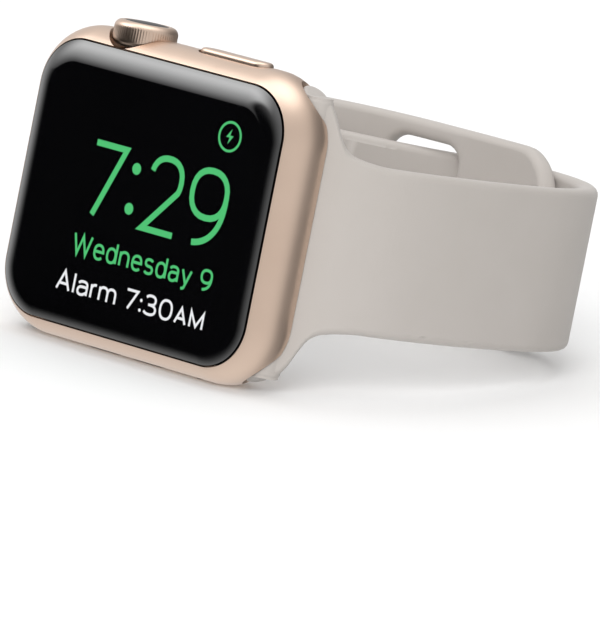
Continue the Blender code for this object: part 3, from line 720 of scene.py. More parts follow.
def bent_strap(name, route, half_width, openings, spacing=0.7):
    """A flat strap with rounded edges and openings, cut across and bent along its route."""
    thickness, edge = sizes().strap_thickness / MM, sizes().strap_edge / MM
    curve = bpy.data.curves.new(name + "_outline", "CURVE")
    curve.dimensions = "2D"
    curve.fill_mode = "BOTH"
    curve.extrude = thickness / 2 - edge
    curve.bevel_depth = edge
    curve.bevel_resolution = 3
    curve.offset = -edge
    for points in [strap_outline(route.length, half_width)] + [opening[::-1] for opening in openings]:
        spline = curve.splines.new("POLY")
        spline.points.add(len(points) - 1)
        spline.use_cyclic_u = True
        for target, point in zip(spline.points, points):
            target.co = (point.x, point.y, 0, 1)
    flat = bpy.data.objects.new(name + "_flat", curve)
    mesh = bpy.data.meshes.new_from_object(flat)
    bpy.data.objects.remove(flat)
    bpy.data.curves.remove(curve)

    bm = bmesh.new()
    bm.from_mesh(mesh)
    bpy.data.meshes.remove(mesh)
    bmesh.ops.remove_doubles(bm, verts=bm.verts[:], dist=1e-4)
    count = round(route.length / spacing)
    for step in range(1, count):
        everything = bm.verts[:] + bm.edges[:] + bm.faces[:]
        centre = (route.length * step / count, 0, 0)
        bmesh.ops.bisect_plane(bm, geom=everything, dist=1e-3, plane_co=centre, plane_no=(1, 0, 0))
    bm.normal_update()
    inner = [
        e for e in bm.edges
        if abs(e.verts[0].co.x - e.verts[1].co.x) > 1e-3
        and all(abs(f.normal.z) > 0.999 for f in e.link_faces)
    ]
    bmesh.ops.dissolve_limit(bm, angle_limit=1e-3, verts=[], edges=inner)
    bmesh.ops.dissolve_verts(bm, verts=[v for v in bm.verts if len(v.link_edges) == 2])
    bmesh.ops.triangulate(bm, faces=[f for f in bm.faces if len(f.verts) > 4])
    side = 1 if route.points[-1].x < route.points[0].x else -1
    for vertex in bm.verts:
        point = route.at(vertex.co.x)
        along = route.direction(vertex.co.x)
        outwards = Vector((along.y, -along.x)) * side
        place_at = point + outwards * vertex.co.z
        vertex.co = Vector((place_at.x, place_at.y, vertex.co.y))
    return place(object_from(bm, name))


def stand_on_route(obj, route, distance, shift=0.0):
    """Stands an object's +Z out of the loop, with its X along the strap. Shift is outwards."""
    point, along = route.at(distance), route.direction(distance)
    along = Vector((along.x, along.y, 0))
    outwards = along.cross(Vector((0, 0, 1)))
    if outwards.y < 0:
        outwards.negate()
        along.negate()
    across = outwards.cross(along)
    turn = Matrix((along, across, outwards)).transposed().to_4x4()
    centre = Vector((point.x, point.y, 0)) + outwards * shift
    obj.matrix_world = WATCH @ Matrix.Translation(centre * MM) @ turn
    return obj


def lug_bead(name, side):
    """The bead that slides in the case's slot. The inner half of its ends follows the case's corner."""
    end = LUG_HALF_LENGTH
    inside = (LUG_RADIUS - LUG_END_ROUND, end - LUG_END_ROUND)
    profile = [(0, end)] + arc(inside, LUG_END_ROUND, 90, 0)
    profile += arc((inside[0], -inside[1]), LUG_END_ROUND, 0, -90) + [(0, -end)]
    bead = turned(name, profile, steps=48)
    for vertex in bead.data.vertices:
        across = min(LUG_X, LUG_X + side * vertex.co.x / MM)
        past_corner = across - (CASE_LENGTH / 2 - CASE_CORNER)
        outline = CASE_HEIGHT / 2 - CASE_CORNER + math.sqrt(CASE_CORNER ** 2 - past_corner ** 2)
        vertex.co.z += math.copysign(MM, vertex.co.z) * (outline - LUG_INSET - end)
    return place(bead, (side * LUG_X, LUG_Y, 0))


def lug_neck(name, route, half_width, side, spacing=0.2):
    """The smooth throat between the bead and the strap, skinned through rounded sections.

    It lies a hair above the strap, and sinks into it at its end.
    """
    corner = sizes().strap_edge / MM
    plain = sizes().strap_thickness / MM / 2
    bm = bmesh.new()
    rings = []
    for step in range(round(NECK_LENGTH / spacing) + 1):
        distance = step * spacing
        sunk = 0.03 * blend_between(0, 1, (distance - NECK_LENGTH + 2.0) / 2.0)
        wide = half_width(max(distance, 0.6), route.length) + 0.015 - sunk
        thick = plain + 0.01 + NECK_SWELL * (1 - blend_between(0, 1, distance / 2.0)) - sunk
        point, along = route.at(distance), route.direction(distance)
        outwards = Vector((along.y, -along.x)) * side
        ring = []
        for turn, (sx, sy) in enumerate(((1, 1), (-1, 1), (-1, -1), (1, -1))):
            for x, y in arc((sx * (wide - corner), sy * (thick - corner)), corner, 90 * turn, 90 * turn + 90):
                spot = point + outwards * y
                ring.append(bm.verts.new((spot.x, spot.y, x)))
        rings.append(ring)
    for ring, after in zip(rings, rings[1:]):
        for index, here in enumerate(ring):
            ahead = (index + 1) % len(ring)
            bm.faces.new((here, ring[ahead], after[ahead], after[index]))
    bm.faces.new(rings[0])
    bm.faces.new(rings[-1])
    return place(object_from(bm, name))


def stud_profile():
    """Outline of the metal stud: a dished head outside the straps, a shank, and a foot inside them."""
    face, head, foot = PIN_HEAD_LEVEL, PIN_HEAD_RADIUS, PIN_FOOT_RADIUS
    profile = [(0, face + 0.72), (1.55, face + 0.72), (1.65, face + 0.98), (1.9, face + 1.08)]
    profile += arc((head - 0.5, face + 0.6), 0.5, 75, 0)
    profile += [(head, face + 0.38), (head - 0.08, face + 0.3), (PIN_RADIUS, face + 0.3), (PIN_RADIUS, -0.55)]
    return profile + [(foot - 0.05, -0.58), (foot, -0.65), (foot, -0.95), (foot - 0.1, -1.03), (0, -1.05)]


# --- Lettering -----------------------------------------------------------------------------

def bow(cx, cy, rx, ry, start, end, steps=14, power=2.3):
    """Points on a slightly square arc, with angles in degrees."""
    points = []
    for step in range(steps + 1):
        angle = math.radians(start + (end - start) * step / steps)
        c, s = math.cos(angle), math.sin(angle)
        across = math.copysign(abs(c) ** (2 / power), c)
        upwards = math.copysign(abs(s) ** (2 / power), s)
        points.append((cx + rx * across, cy + ry * upwards))
    return points


# Each sign's width as a share of its height, and the middle lines of its strokes. Heights run from 0
# at the baseline to 1 at a capital's top.
SIGNS = {
    "7": (0.62, [[(0, 1), (1, 1), (0.26, 0)]]),
    "2": (0.62, [bow(0.5, 0.72, 0.48, 0.28, 168, -28) + [(0.0, 0.0), (1.0, 0.0)]]),
    "9": (0.64, [bow(0.5, 0.68, 0.5, 0.32, 0, 360, 24), bow(0.12, 0.62, 0.88, 0.62, 6, -84)]),
    "3": (0.62, [bow(0.46, 0.755, 0.45, 0.245, 155, -90), bow(0.46, 0.255, 0.54, 0.255, 90, -155),
                 [(0.28, 0.51), (0.46, 0.51)]]),
    "0": (0.66, [bow(0.5, 0.5, 0.5, 0.5, 0, 360, 28)]),
    "W": (1.12, [[(0, 1), (0.25, 0), (0.5, 0.93), (0.75, 0), (1, 1)]]),
    "e": (0.56, [[(0.03, 0.38), (1, 0.38)] + bow(0.5, 0.36, 0.5, 0.36, 4, 318, 22)]),
    "d": (0.57, [bow(0.47, 0.36, 0.47, 0.36, 0, 360, 24), [(1, 0), (1, 1.02)]]),
    "n": (0.54, [[(0, 0), (0, 0.72)], bow(0.5, 0.40, 0.5, 0.32, 180, 0) + [(1, 0)]]),
    "s": (0.48, [bow(0.5, 0.545, 0.46, 0.175, 25, 270) + bow(0.5, 0.185, 0.5, 0.185, 90, -155)[1:]]),
    "a": (0.52, [bow(0.5, 0.50, 0.5, 0.22, 158, 0) + [(1, 0)],
                 [(1, 0.43)] + bow(0.42, 0.215, 0.42, 0.215, 90, 270) + [(0.62, 0.02), (1, 0.17)]]),
    "y": (0.56, [[(0, 0.72), (0.5, 0.03)], [(1, 0.72), (0.4, -0.2), (0.1, -0.26)]]),
    "A": (0.72, [[(0, 0), (0.5, 1), (1, 0)], [(0.19, 0.33), (0.81, 0.33)]]),
    "l": (0.0, [[(0, 0), (0, 1.02)]]),
    "r": (0.24, [[(0, 0), (0, 0.72)], bow(1.0, 0.42, 1.0, 0.29, 180, 84)]),
    "m": (0.92, [[(0, 0), (0, 0.72)], bow(0.25, 0.42, 0.25, 0.30, 180, 0) + [(0.5, 0)],
                 bow(0.75, 0.42, 0.25, 0.30, 180, 0) + [(1, 0)]]),
    "M": (0.84, [[(0, 0), (0, 1), (0.5, 0.1), (1, 1), (1, 0)]]),
    ":": (0.0, []),
    " ": (0.12, []),
}

def ribbon(bm, points, width, lift=GLASS_LIFT):
    """A flat band of even width along points in the display's plane."""
    points = [Vector(p) for p in points]
    left, right = [], []
    for index, point in enumerate(points):
        before = points[max(index - 1, 0)]
        after = points[min(index + 1, len(points) - 1)]
        first = (point - before).normalized() if index else (after - point).normalized()
        second = (after - point).normalized() if index < len(points) - 1 else first
        middle = (first + second).normalized() if (first + second).length > 1e-6 else first
        normal = Vector((-middle.y, middle.x))
        stretch = 1 / max(0.32, normal.dot(Vector((-first.y, first.x))))
        left.append(point + normal * width / 2 * stretch)
        right.append(point - normal * width / 2 * stretch)
    rows = [(bm.verts.new((a.x, -lift, a.y)), bm.verts.new((b.x, -lift, b.y))) for a, b in zip(left, right)]
    for (a, b), (c, d) in zip(rows, rows[1:]):
        bm.faces.new((a, b, d, c))


def dot(bm, centre, radius, steps=32):
    ring = [bm.verts.new((x, -GLASS_LIFT, z)) for x, z in arc(centre, radius, 0, 360, steps)[:-1]]
    bm.faces.new(ring)


def display_point(x, y):
    """A point of the display, from millimetres right of and below the glass's top left corner."""
    return x - SEAT_LENGTH / 2, SEAT_HEIGHT / 2 - y


def flat_object(bm, name):
    """Turns flat faces into an object that faces the front."""
    for face in bm.faces:
        face.normal_update()
        if face.normal.y > 0:
            face.normal_flip()
    bmesh.ops.scale(bm, vec=(MM, MM, MM), verts=bm.verts[:])
    return place(linked(mesh_from(bm, name), name))


def write_sign(bm, sign, left, right, top, bottom, stroke):
    """Writes one sign that fills its box."""
    for order, points in enumerate(SIGNS[sign][1]):
        spots = []
        for u, v in points:
            across = left + stroke / 2 + u * (right - left - stroke)
            down = bottom - stroke / 2 - v * (bottom - top - stroke)
            spots.append(display_point(across, down))
        ribbon(bm, spots, stroke, GLASS_LIFT + STROKE_LIFT * order)


def write_line(bm, text, left, right, baseline, capital, stroke, small=""):
    """Writes one line of signs between two edges. The signs of small, at its end, are lower."""
    heights = [capital] * (len(text) - len(small)) + [capital * SMALL_SIGN] * len(small)
    gap = SIGN_GAP * capital
    natural = sum(SIGNS[sign][0] * height for sign, height in zip(text, heights)) + gap * (len(text) - 1)
    share = (right - left - stroke * len(text)) / natural
    x = left
    for sign, height in zip(text, heights):
        width = SIGNS[sign][0] * height * share + stroke
        write_sign(bm, sign, x, x + width, baseline - height, baseline, stroke)
        if sign == ":":
            for level in DOT_HEIGHTS:
                dot(bm, display_point(x + stroke / 2, baseline - level * height), stroke * LINE_DOT_SHARE)
        x += width + gap * share


# --- Operators ------------------------------------------------------------------------------

def hollow_tools():
    """The case's seats and hollows, each with its length, height and corner between two depths."""
    return [
        well("seat", SEAT_LENGTH, SEAT_HEIGHT, SEAT_CORNER, -1.0, 2.3, corner_steps=24),
        well("display_well", 31.2, 27.4, 3.4, 1.8, 3.5),
        well("cavity", 28.0, 28.4, 3.6, 3.0, 7.2),
        well("window", 23.2, 22.8, 3.6, 6.7, 8.35),
        well("back_seat", 26.1, 25.5, 5.0, 7.95, 10.0, corner_steps=16),
    ]


def slot_tools(side):
    """The groove and mouth of one band slot, and the hole of its release button."""
    groove = rod("groove", LUG_RADIUS + SLOT_CLEARANCE, 2 * CASE_HEIGHT)
    mouth = plate("mouth", MOUTH_REACH, MOUTH_WIDTH, 2 * CASE_HEIGHT)
    out = MOUTH_REACH / 2
    middle = (side * (LUG_X + out * math.cos(MOUTH_ANGLE)), LUG_Y + out * math.sin(MOUTH_ANGLE), 0)
    hole = plate("release_hole", RELEASE_WIDTH + 2 * RELEASE_GAP, RELEASE_LENGTH + 2 * RELEASE_GAP, 3.0, 1.05)
    return [
        place(groove, (side * LUG_X, LUG_Y, 0)),
        place(mouth, middle, (0, 0, side * MOUTH_ANGLE)),
        place(hole, (side * RELEASE_X, 8.9, 0), FACING_FRONT),
    ]


def crown_and_button_tools():
    """The crown's scooped pocket and bore, and the side button's recess and hole."""
    clear = CROWN_RADIUS + CROWN_CLEARANCE
    rim = clear + CROWN_FLARE
    scoop = [(0, 3.0), (rim, 3.0), (rim, 1.75)]
    scoop += arc((rim, 0.65), CROWN_FLARE, 95, 180, 10) + [(clear, -0.4), (0, -0.4)]
    recess = plate(
        "button_recess", BUTTON_LENGTH + 2 * BUTTON_GAP, BUTTON_WIDTH + 2 * BUTTON_GAP, 3.0,
        BUTTON_WIDTH / 2 + 0.2,
    )
    hole = plate("stem_hole", 5.2, 1.5, 4.0, 0.7)
    return [
        place(turned("crown_scoop", scoop, steps=128), (CROWN_X, SIDE_LEVEL, CROWN_BOTTOM)),
        place(recess, (BUTTON_X, SIDE_LEVEL, BUTTON_BOTTOM - 0.35 + 1.5)),
        place(hole, (BUTTON_X, SIDE_LEVEL, BUTTON_BOTTOM - 1.5)),
        place(rod("shaft_bore", 2.0, 4.0), (CROWN_X, SIDE_LEVEL, CROWN_BOTTOM - 1.5)),
    ]


def grille_tools():
    """Two speaker slots and a round port in the lower long side."""
    level = -CASE_HEIGHT / 2 + 0.5
    slots = [
        place(plate("speaker_slot", 4.6, 0.9, 4.0, 0.44, corner_steps=8), (x, SIDE_LEVEL, level))
        for x in (-4.2, 2.2)
    ]
    return slots + [place(rod("port", 0.45, 4.0, steps=32), (9.6, SIDE_LEVEL, level))]


class BuildCase(bpy.types.Operator):
    """Builds the bead-blasted case with its slots, crown pocket, button recess and grilles"""

    bl_idname = "watch.build_case"
    bl_label = "Case"

    def execute(self, context):
        case = plate(
            "case", CASE_LENGTH, CASE_HEIGHT, CASE_DEPTH, CASE_CORNER, FRONT_ROUND, BACK_ROUND,
            corner_steps=20, edge_steps=16,
        )
        place(case, (0, CASE_DEPTH / 2, 0), FACING_FRONT)
        combine(case, [
            *hollow_tools(), *slot_tools(1), *slot_tools(-1), *crown_and_button_tools(), *grille_tools(),
        ])
        smooth(break_edges(case, 0.07, 2, 40), sharp=35)
        dress(case, gold(), "case", "gold_aluminium", "case_shell")
        return {"FINISHED"}


class BuildGlass(bpy.types.Operator):
    """Builds the cover glass, whose edges carry the case's rounding on"""

    bl_idname = "watch.build_glass"
    bl_label = "Cover glass"

    def execute(self, context):
        gap = sizes().glass_gap / MM
        glass = plate(
            "glass", CASE_LENGTH, CASE_HEIGHT, CASE_DEPTH, CASE_CORNER, FRONT_ROUND, BACK_ROUND,
            corner_steps=28, edge_steps=28,
        )
        place(glass, (0, CASE_DEPTH / 2, 0), FACING_FRONT)
        outline = well(
            "glass_outline", SEAT_LENGTH - 2 * gap, SEAT_HEIGHT - 2 * gap, SEAT_CORNER - gap, -1.0, 1.5,
            corner_steps=28,
        )
        combine(glass, [outline], "INTERSECT")
        smooth(break_edges(glass, 0.08, 3, 30), sharp=40)
        black = colours().glass_black
        material = finish_material(
            "Black cover glass", black, [1.3 * c for c in black], rough=(0.02, 0.035), grain=3000.0,
            cloud=40.0, depth=0.00002, IOR=1.72, Specular_IOR_Level=1.0,
        )
        dress(glass, material, "case", "cover_glass", "cover_glass")
        return {"FINISHED"}


class BuildDisplay(bpy.types.Operator):
    """Writes the lit clock, date, alarm line and charging sign"""

    bl_idname = "watch.build_display"
    bl_label = "Display"

    def execute(self, context):
        tint = colours()
        stroke = sizes().clock_stroke / MM
        green = light_material("Lit green", tint.clock_green)
        white = light_material("Lit white", tint.alarm_white)

        clock = bmesh.new()
        write_sign(clock, "7", 10.27, 15.37, 9.8, 18.0, stroke)
        write_sign(clock, "2", 18.67, 23.83, 9.5, 17.9, stroke)
        write_sign(clock, "9", 24.77, 30.33, 9.5, 17.93, stroke)
        for y in (11.77, 16.03):
            dot(clock, display_point(16.82, y), CLOCK_DOT_RADIUS)
        dress(flat_object(clock, "clock_numerals"), green, "case", "display_panel")

        date = bmesh.new()
        write_line(date, "Wednesday 9", 9.93, 30.27, 22.2, 2.35, 0.30)
        dress(flat_object(date, "date_line"), green, "case", "display_panel")

        alarm = bmesh.new()
        write_line(alarm, "Alarm 7:30AM", 8.67, 30.17, 26.3, 2.25, 0.29, small="AM")
        dress(flat_object(alarm, "alarm_line"), white, "case", "display_panel")

        sign = bmesh.new()
        middle = display_point(28.77, 5.93)
        ribbon(sign, arc(middle, CHARGING_RING_RADIUS, 0, 360, 64), 0.27)
        bolt = [(0.16, 0.82), (-0.5, -0.1), (-0.02, -0.1), (-0.16, -0.82), (0.5, 0.12), (0.02, 0.12)]
        corners = [sign.verts.new((middle[0] + x, -GLASS_LIFT, middle[1] + y)) for x, y in bolt]
        sign.faces.new(corners)
        dress(flat_object(sign, "charging_sign"), green, "case", "display_panel")
        return {"FINISHED"}


class BuildBack(bpy.types.Operator):
    """Builds the back cover, the raised crystal and the sensor lenses"""

    bl_idname = "watch.build_back"
    bl_label = "Back"

    def execute(self, context):
        cover = plate(
            "back_plate", BACK_LENGTH, BACK_HEIGHT, BACK_THICKNESS, BACK_CORNER, 0.0, 0.25, corner_steps=16,
            edge_steps=4,
        )
        place(cover, (0, CASE_DEPTH - BACK_THICKNESS / 2, 0), FACING_FRONT)
        opening = place(rod("opening", COLLAR_RADIUS + 0.1, 4.0, steps=96), (0, CASE_DEPTH, 0), FACING_FRONT)
        combine(cover, [opening])
        smooth(cover)
        ceramic = finish_material(
            "Satin ceramic", (0.30, 0.29, 0.28), (0.36, 0.35, 0.34), rough=(0.25, 0.32), grain=8000.0,
            depth=0.003,
        )
        dress(cover, ceramic, "case", "back_ceramic", "back_cover")

        rim = CASE_DEPTH + 0.05
        dome = [(CRYSTAL_RADIUS - 0.02, -rim), (CRYSTAL_RADIUS, -rim - 0.08)]
        for step in range(1, 15):
            t = step / 15
            spread = CRYSTAL_RADIUS - CRYSTAL_SHOULDER
            radius = CRYSTAL_SHOULDER + spread * math.cos(t * math.pi / 2) ** 0.8
            dome.append((radius, -rim - 0.08 - (CRYSTAL_FACE - rim - 0.08) * math.sin(t * math.pi / 2)))
        inside = CRYSTAL_FACE - 0.8
        profile = [
            (0, -inside), (8.0, -inside), (8.1, -COLLAR_LEVEL), (COLLAR_RADIUS, -COLLAR_LEVEL),
            (COLLAR_RADIUS, -rim), *dome, (CRYSTAL_SHOULDER, -CRYSTAL_FACE), (0, -CRYSTAL_FACE),
        ]
        crystal = place(turned("crystal", profile, steps=128), NOT_TURNED, FACING_FRONT)
        spots = [(x * LENS_OFFSET, z * LENS_OFFSET) for x in (-1, 1) for z in (-1, 1)]
        holes = [
            place(rod("lens_hole", LENS_RADIUS + 0.08, 3.0), (x, CRYSTAL_FACE, z), FACING_FRONT)
            for x, z in spots
        ]
        combine(crystal, holes)
        smooth(crystal)
        glass = finish_material(
            "Dark back crystal", (0.05, 0.05, 0.053), (0.065, 0.065, 0.07), rough=(0.05, 0.09), grain=3000.0,
            depth=0.0001, IOR=1.7,
        )
        dress(crystal, glass, "case", "back_crystal", "back_crystal")
        lens_glass = finish_material(
            "Sensor lens", (0.008, 0.012, 0.010), (0.03, 0.012, 0.03), rough=(0.03, 0.06), grain=2500.0,
            cloud=400.0, depth=0.0001, IOR=1.6,
        )
        for index, (x, z) in enumerate(spots, 1):
            profile = [(0, 0.45), (LENS_RADIUS, 0.45), (LENS_RADIUS, -0.3)]
            profile += [(LENS_RADIUS * math.cos(a), -0.3 - 0.15 * math.sin(a)) for a in (0.3, 0.6, 0.9, 1.2)]
            lens = turned(f"lens_{index}", profile + [(0, -0.45)], steps=64)
            smooth(place(lens, (x, CRYSTAL_FACE - 0.5, z), FACING_FRONT))
            dress(lens, lens_glass, "case", "sensor_lens", f"sensor_lens_{index}")
        return {"FINISHED"}


class BuildCrown(bpy.types.Operator):
    """Builds the ridged crown and its dark cap"""

    bl_idname = "watch.build_crown"
    bl_label = "Crown"

    def execute(self, context):
        height = CROWN_TOP - CROWN_BOTTOM
        teeth, depth = sizes().knurl_teeth, sizes().knurl_depth / MM
        low, high = 1.0, height - 0.7

        def ridged(radius, level, angle):
            if radius < CROWN_RADIUS - 0.25:
                return radius
            above = min(1.0, max(0.0, (level - low + 0.2) / 0.3))
            band = above * min(1.0, max(0.0, (high + 0.2 - level) / 0.3))
            groove = 0.5 - 0.5 * math.cos(angle * teeth)
            return radius - depth * band * groove ** 0.7

        side = arc((CROWN_RADIUS - 0.8, height - 0.8), 0.8, 90, 0, 8)
        foot = arc((CROWN_RADIUS - 0.75, 0.75), 0.75, 0, -90, 7)
        seat = [(CAP_RADIUS, height - 0.35), (CAP_RADIUS + 0.06, height - 0.06), (CAP_RADIUS + 0.14, height)]
        profile = seat + side + foot + [(SHAFT_RADIUS, 0.0), (SHAFT_RADIUS, height - 0.35)]
        head = turned("crown", profile, steps=teeth * 6, closed=True, shape=ridged)
        smooth(place(head, (CROWN_X, SIDE_LEVEL, CROWN_BOTTOM)), sharp=50, weighted=False)
        dress(head, gold(), "crown", "gold_aluminium", "crown_head")

        dome = [
            (CAP_RADIUS * math.sin(angle), 0.24 + 0.16 * math.cos(angle))
            for angle in (math.radians(10 * step) for step in range(10))
        ]
        cap = turned("cap", dome + [(CAP_RADIUS, 0.0), (0, 0.0)], steps=96)
        smooth(place(cap, (CROWN_X, SIDE_LEVEL, CROWN_TOP - 0.3)), sharp=50, weighted=False)
        material = finish_material(
            "Black crown cap", (0.006, 0.006, 0.007), (0.012, 0.012, 0.013), rough=(0.22, 0.30), grain=4000.0,
            depth=0.0005, Specular_IOR_Level=0.05,
        )
        dress(cap, material, "crown", "crown_cap", "crown_cap")
        return {"FINISHED"}


class BuildButtons(bpy.types.Operator):
    """Builds the side button and the two release buttons"""

    bl_idname = "watch.build_buttons"
    bl_label = "Buttons"

    def execute(self, context):
        button = plate(
            "side_key", BUTTON_LENGTH, BUTTON_WIDTH, BUTTON_TOP - BUTTON_BOTTOM, BUTTON_WIDTH / 2 - 0.01,
            0.42, 0.0, corner_steps=16, edge_steps=8,
        )
        place(button, (BUTTON_X, SIDE_LEVEL, (BUTTON_TOP + BUTTON_BOTTOM) / 2))
        stem = plate("stem", 4.8, 1.1, 2.6, 0.5)
        combine(button, [place(stem, (BUTTON_X, SIDE_LEVEL, BUTTON_BOTTOM - 1.2))], "UNION")
        dress(smooth(button), gold(), "side_button", "gold_aluminium", "side_button")
        for side, body, node in (
            (1, "release_long", "release_button_long_side"),
            (-1, "release_short", "release_button_short_side"),
        ):
            release = plate(
                f"{body}_key", RELEASE_WIDTH, RELEASE_LENGTH, 0.85, 0.94, 0.0, 0.25, corner_steps=12,
                edge_steps=5,
            )
            place(release, (side * RELEASE_X, RELEASE_LEVEL, 0), FACING_FRONT)
            dress(smooth(release), gold(), body, "gold_aluminium", node)
        return {"FINISHED"}


class BuildBand(bpy.types.Operator):
    """Builds the two silicone straps and the metal stud that closes them"""

    bl_idname = "watch.build_band"
    bl_label = "Band"

    def execute(self, context):
        long_route, short_route = Route(LONG_ROUTE), Route(SHORT_ROUTE)
        pin_on_long = long_route.distance_at_x(PIN_X + 0.3)
        pin_on_short = short_route.distance_at_x(PIN_X)
        hole_corner = HOLE_ALONG / 2 - 0.01
        holes = [
            round_box(
                pin_on_long + (index - HOLES_BEFORE_PIN) * HOLE_PITCH, HOLE_ALONG, HOLE_ACROSS, hole_corner,
            )
            for index in range(HOLE_COUNT)
        ]
        keeper_at = short_route.distance_at_x(KEEPER_X)
        keeper = round_box(keeper_at, KEEPER_LENGTH, 2 * KEEPER_HALF_WIDTH, KEEPER_CORNER)
        cuts = [keeper, round_box(pin_on_short, PIN_HOLE, PIN_HOLE, PIN_HOLE / 2 - 0.001)]
        straps = (
            ("strap_outer", "band_long", "long_strap", long_route, long_half_width, holes, 1),
            ("strap_inner", "band_short", "short_strap", short_route, short_half_width, cuts, -1),
        )
        for name, body, node, route, half_width, openings, side in straps:
            strap = bent_strap(name, route, half_width, openings)
            core = rod("bead_core", LUG_RADIUS - 0.1, 2 * LUG_HALF_LENGTH - 0.2)
            place(core, (side * LUG_X, LUG_Y, 0))
            combine(strap, [core], "UNION")
            bead = lug_bead(name + "_bead", side)
            neck = lug_neck(name + "_neck", route, half_width, side)
            for target in (strap, bead, neck):
                pocket = plate("pocket", 2.5, 6.2, 3.0)
                combine(target, [place(pocket, (side * RELEASE_X, 7.3, 0), FACING_FRONT)])
            if node == "short_strap":
                recess = rod("foot_recess", 2.7, 2.0)
                combine(strap, [stand_on_route(recess, short_route, pin_on_short, -1.4)])
            smooth(joined(joined(strap, bead), neck), sharp=45)
            dress(strap, silicone(), body, "stone_silicone", node)

        pin = smooth(stand_on_route(turned("stud", stud_profile()), short_route, pin_on_short), sharp=40)
        dress(pin, steel(), "band_short", "steel", "closure_pin")
        return {"FINISHED"}


class FinishInside(bpy.types.Operator):
    """Gives every piece inside the watch its own finish"""

    bl_idname = "watch.finish_inside"
    bl_label = "Inside pieces"

    def execute(self, context):
        resin = finish_material(
            "Black resin", (0.02, 0.02, 0.022), (0.045, 0.045, 0.05), rough=(0.35, 0.5), grain=4000.0,
            depth=0.01,
        )
        panel = finish_material(
            "Display panel", (0.006, 0.006, 0.008), (0.012, 0.012, 0.016), rough=(0.12, 0.2), grain=6000.0,
            depth=0.001,
        )
        flex = finish_material(
            "Amber flex", (0.42, 0.18, 0.03), (0.60, 0.30, 0.07), rough=(0.3, 0.42), lines=2500.0, depth=0.01,
        )
        pouch = finish_material(
            "Battery wrap", (0.02, 0.02, 0.022), (0.05, 0.05, 0.055), rough=(0.4, 0.55), grain=2500.0,
            depth=0.02,
        )
        brass = finish_material(
            "Turned brass", (0.62, 0.45, 0.20), (0.80, 0.62, 0.30), rough=(0.2, 0.32), metallic=1.0,
            lines=4000.0, depth=0.006,
        )
        copper = finish_material(
            "Wound copper", (0.60, 0.26, 0.14), (0.85, 0.45, 0.28), rough=(0.25, 0.38), metallic=1.0,
            lines=2500.0, depth=0.02,
        )
        board = finish_material(
            "Coated board", (0.008, 0.06, 0.03), (0.015, 0.12, 0.06), rough=(0.3, 0.45), grain=1500.0,
            depth=0.01,
        )
        finishes = {
            "force_gasket": black_rubber(), "back_gasket": black_rubber(), "crown_seal": black_rubber(),
            "display_panel": panel, "display_flex": flex, "battery": pouch, "haptic_engine": steel(),
            "logic_module": resin, "speaker_module": resin, "microphone": steel(), "chassis_plate": steel(),
            "sensor_board": board, "charging_coil": copper, "alignment_magnet": steel(),
            "crown_bearing": brass,
            "crown_bracket": steel(), "crown_encoder": resin, "crown_switch": resin,
            "side_button_switch": resin,
            "side_button_bracket": steel(), "crown_thrust_plate": steel(), "crown_shaft": steel(),
            "long_strap_latch": steel(), "short_strap_latch": steel(),
        }
        finishes.update({f"chassis_screw_{number}": steel() for number in range(1, 5)})
        for name, material in finishes.items():
            paint(frame["nodes"][name].data, material)
        return {"FINISHED"}


def add_soft_light(name, direction, strength, spread):
    """An even light from far away. Spread is its width in the sky, in degrees."""
    light = bpy.data.lights.new(name, "SUN")
    light.energy = strength
    light.angle = math.radians(spread)
    obj = linked(light, name)
    obj.rotation_euler = (-Vector(direction)).to_track_quat("-Z", "Y").to_euler()
    obj.visible_glossy = False
    return obj


def add_camera():
    """A long lens that looks down on the watch from its right, turned as the watch lies."""
    azimuth, elevation, roll = map(math.radians, (CAMERA_AZIMUTH, CAMERA_ELEVATION, CAMERA_ROLL))
    towards = Vector((
        math.sin(azimuth) * math.cos(elevation), -math.cos(azimuth) * math.cos(elevation),
        math.sin(elevation),
    ))
    level = Vector((math.cos(azimuth), math.sin(azimuth), 0.0))
    upright = towards.cross(level)
    right = level * math.cos(roll) + upright * math.sin(roll)
    top = upright * math.cos(roll) - level * math.sin(roll)
    local = Matrix((right, top, towards)).transposed().to_4x4()
    local.translation = (right * CAMERA_RIGHT + top * CAMERA_UP + towards * CAMERA_DISTANCE) * MM
    data = bpy.data.cameras.new("product_camera")
    data.sensor_width = SENSOR_WIDTH
    data.lens = FOCAL_LENGTH
    data.clip_start = 0.05
    data.clip_end = 20.0
    camera = linked(data, "product_camera")
    camera.matrix_world = WATCH @ local
    bpy.context.scene.camera = camera
    return camera


def lobe(tree, direction, axis, inner, outer, low):
    """A factor that is low within inner degrees of an axis and 1 beyond outer degrees of it."""
    cosine = put(tree, "ShaderNodeVectorMath", operation="DOT_PRODUCT")
    cosine.inputs[1].default_value = Vector(axis).normalized()
    angle = put(tree, "ShaderNodeMath", operation="ARCCOSINE")
    factor = put(tree, "ShaderNodeMapRange", {
        "From Min": math.radians(inner), "From Max": math.radians(outer), "To Min": low, "To Max": 1.0,
    }, interpolation_type="SMOOTHSTEP")
    tree.links.new(direction, cosine.inputs[0])
    tree.links.new(cosine.outputs["Value"], angle.inputs[0])
    tree.links.new(angle.outputs[0], factor.inputs["Value"])
    return factor.outputs["Result"]


def times(tree, first, second):
    node = put(tree, "ShaderNodeMath", operation="MULTIPLY")
    tree.links.new(first, node.inputs[0])
    tree.links.new(second, node.inputs[1])
    return node.outputs[0]


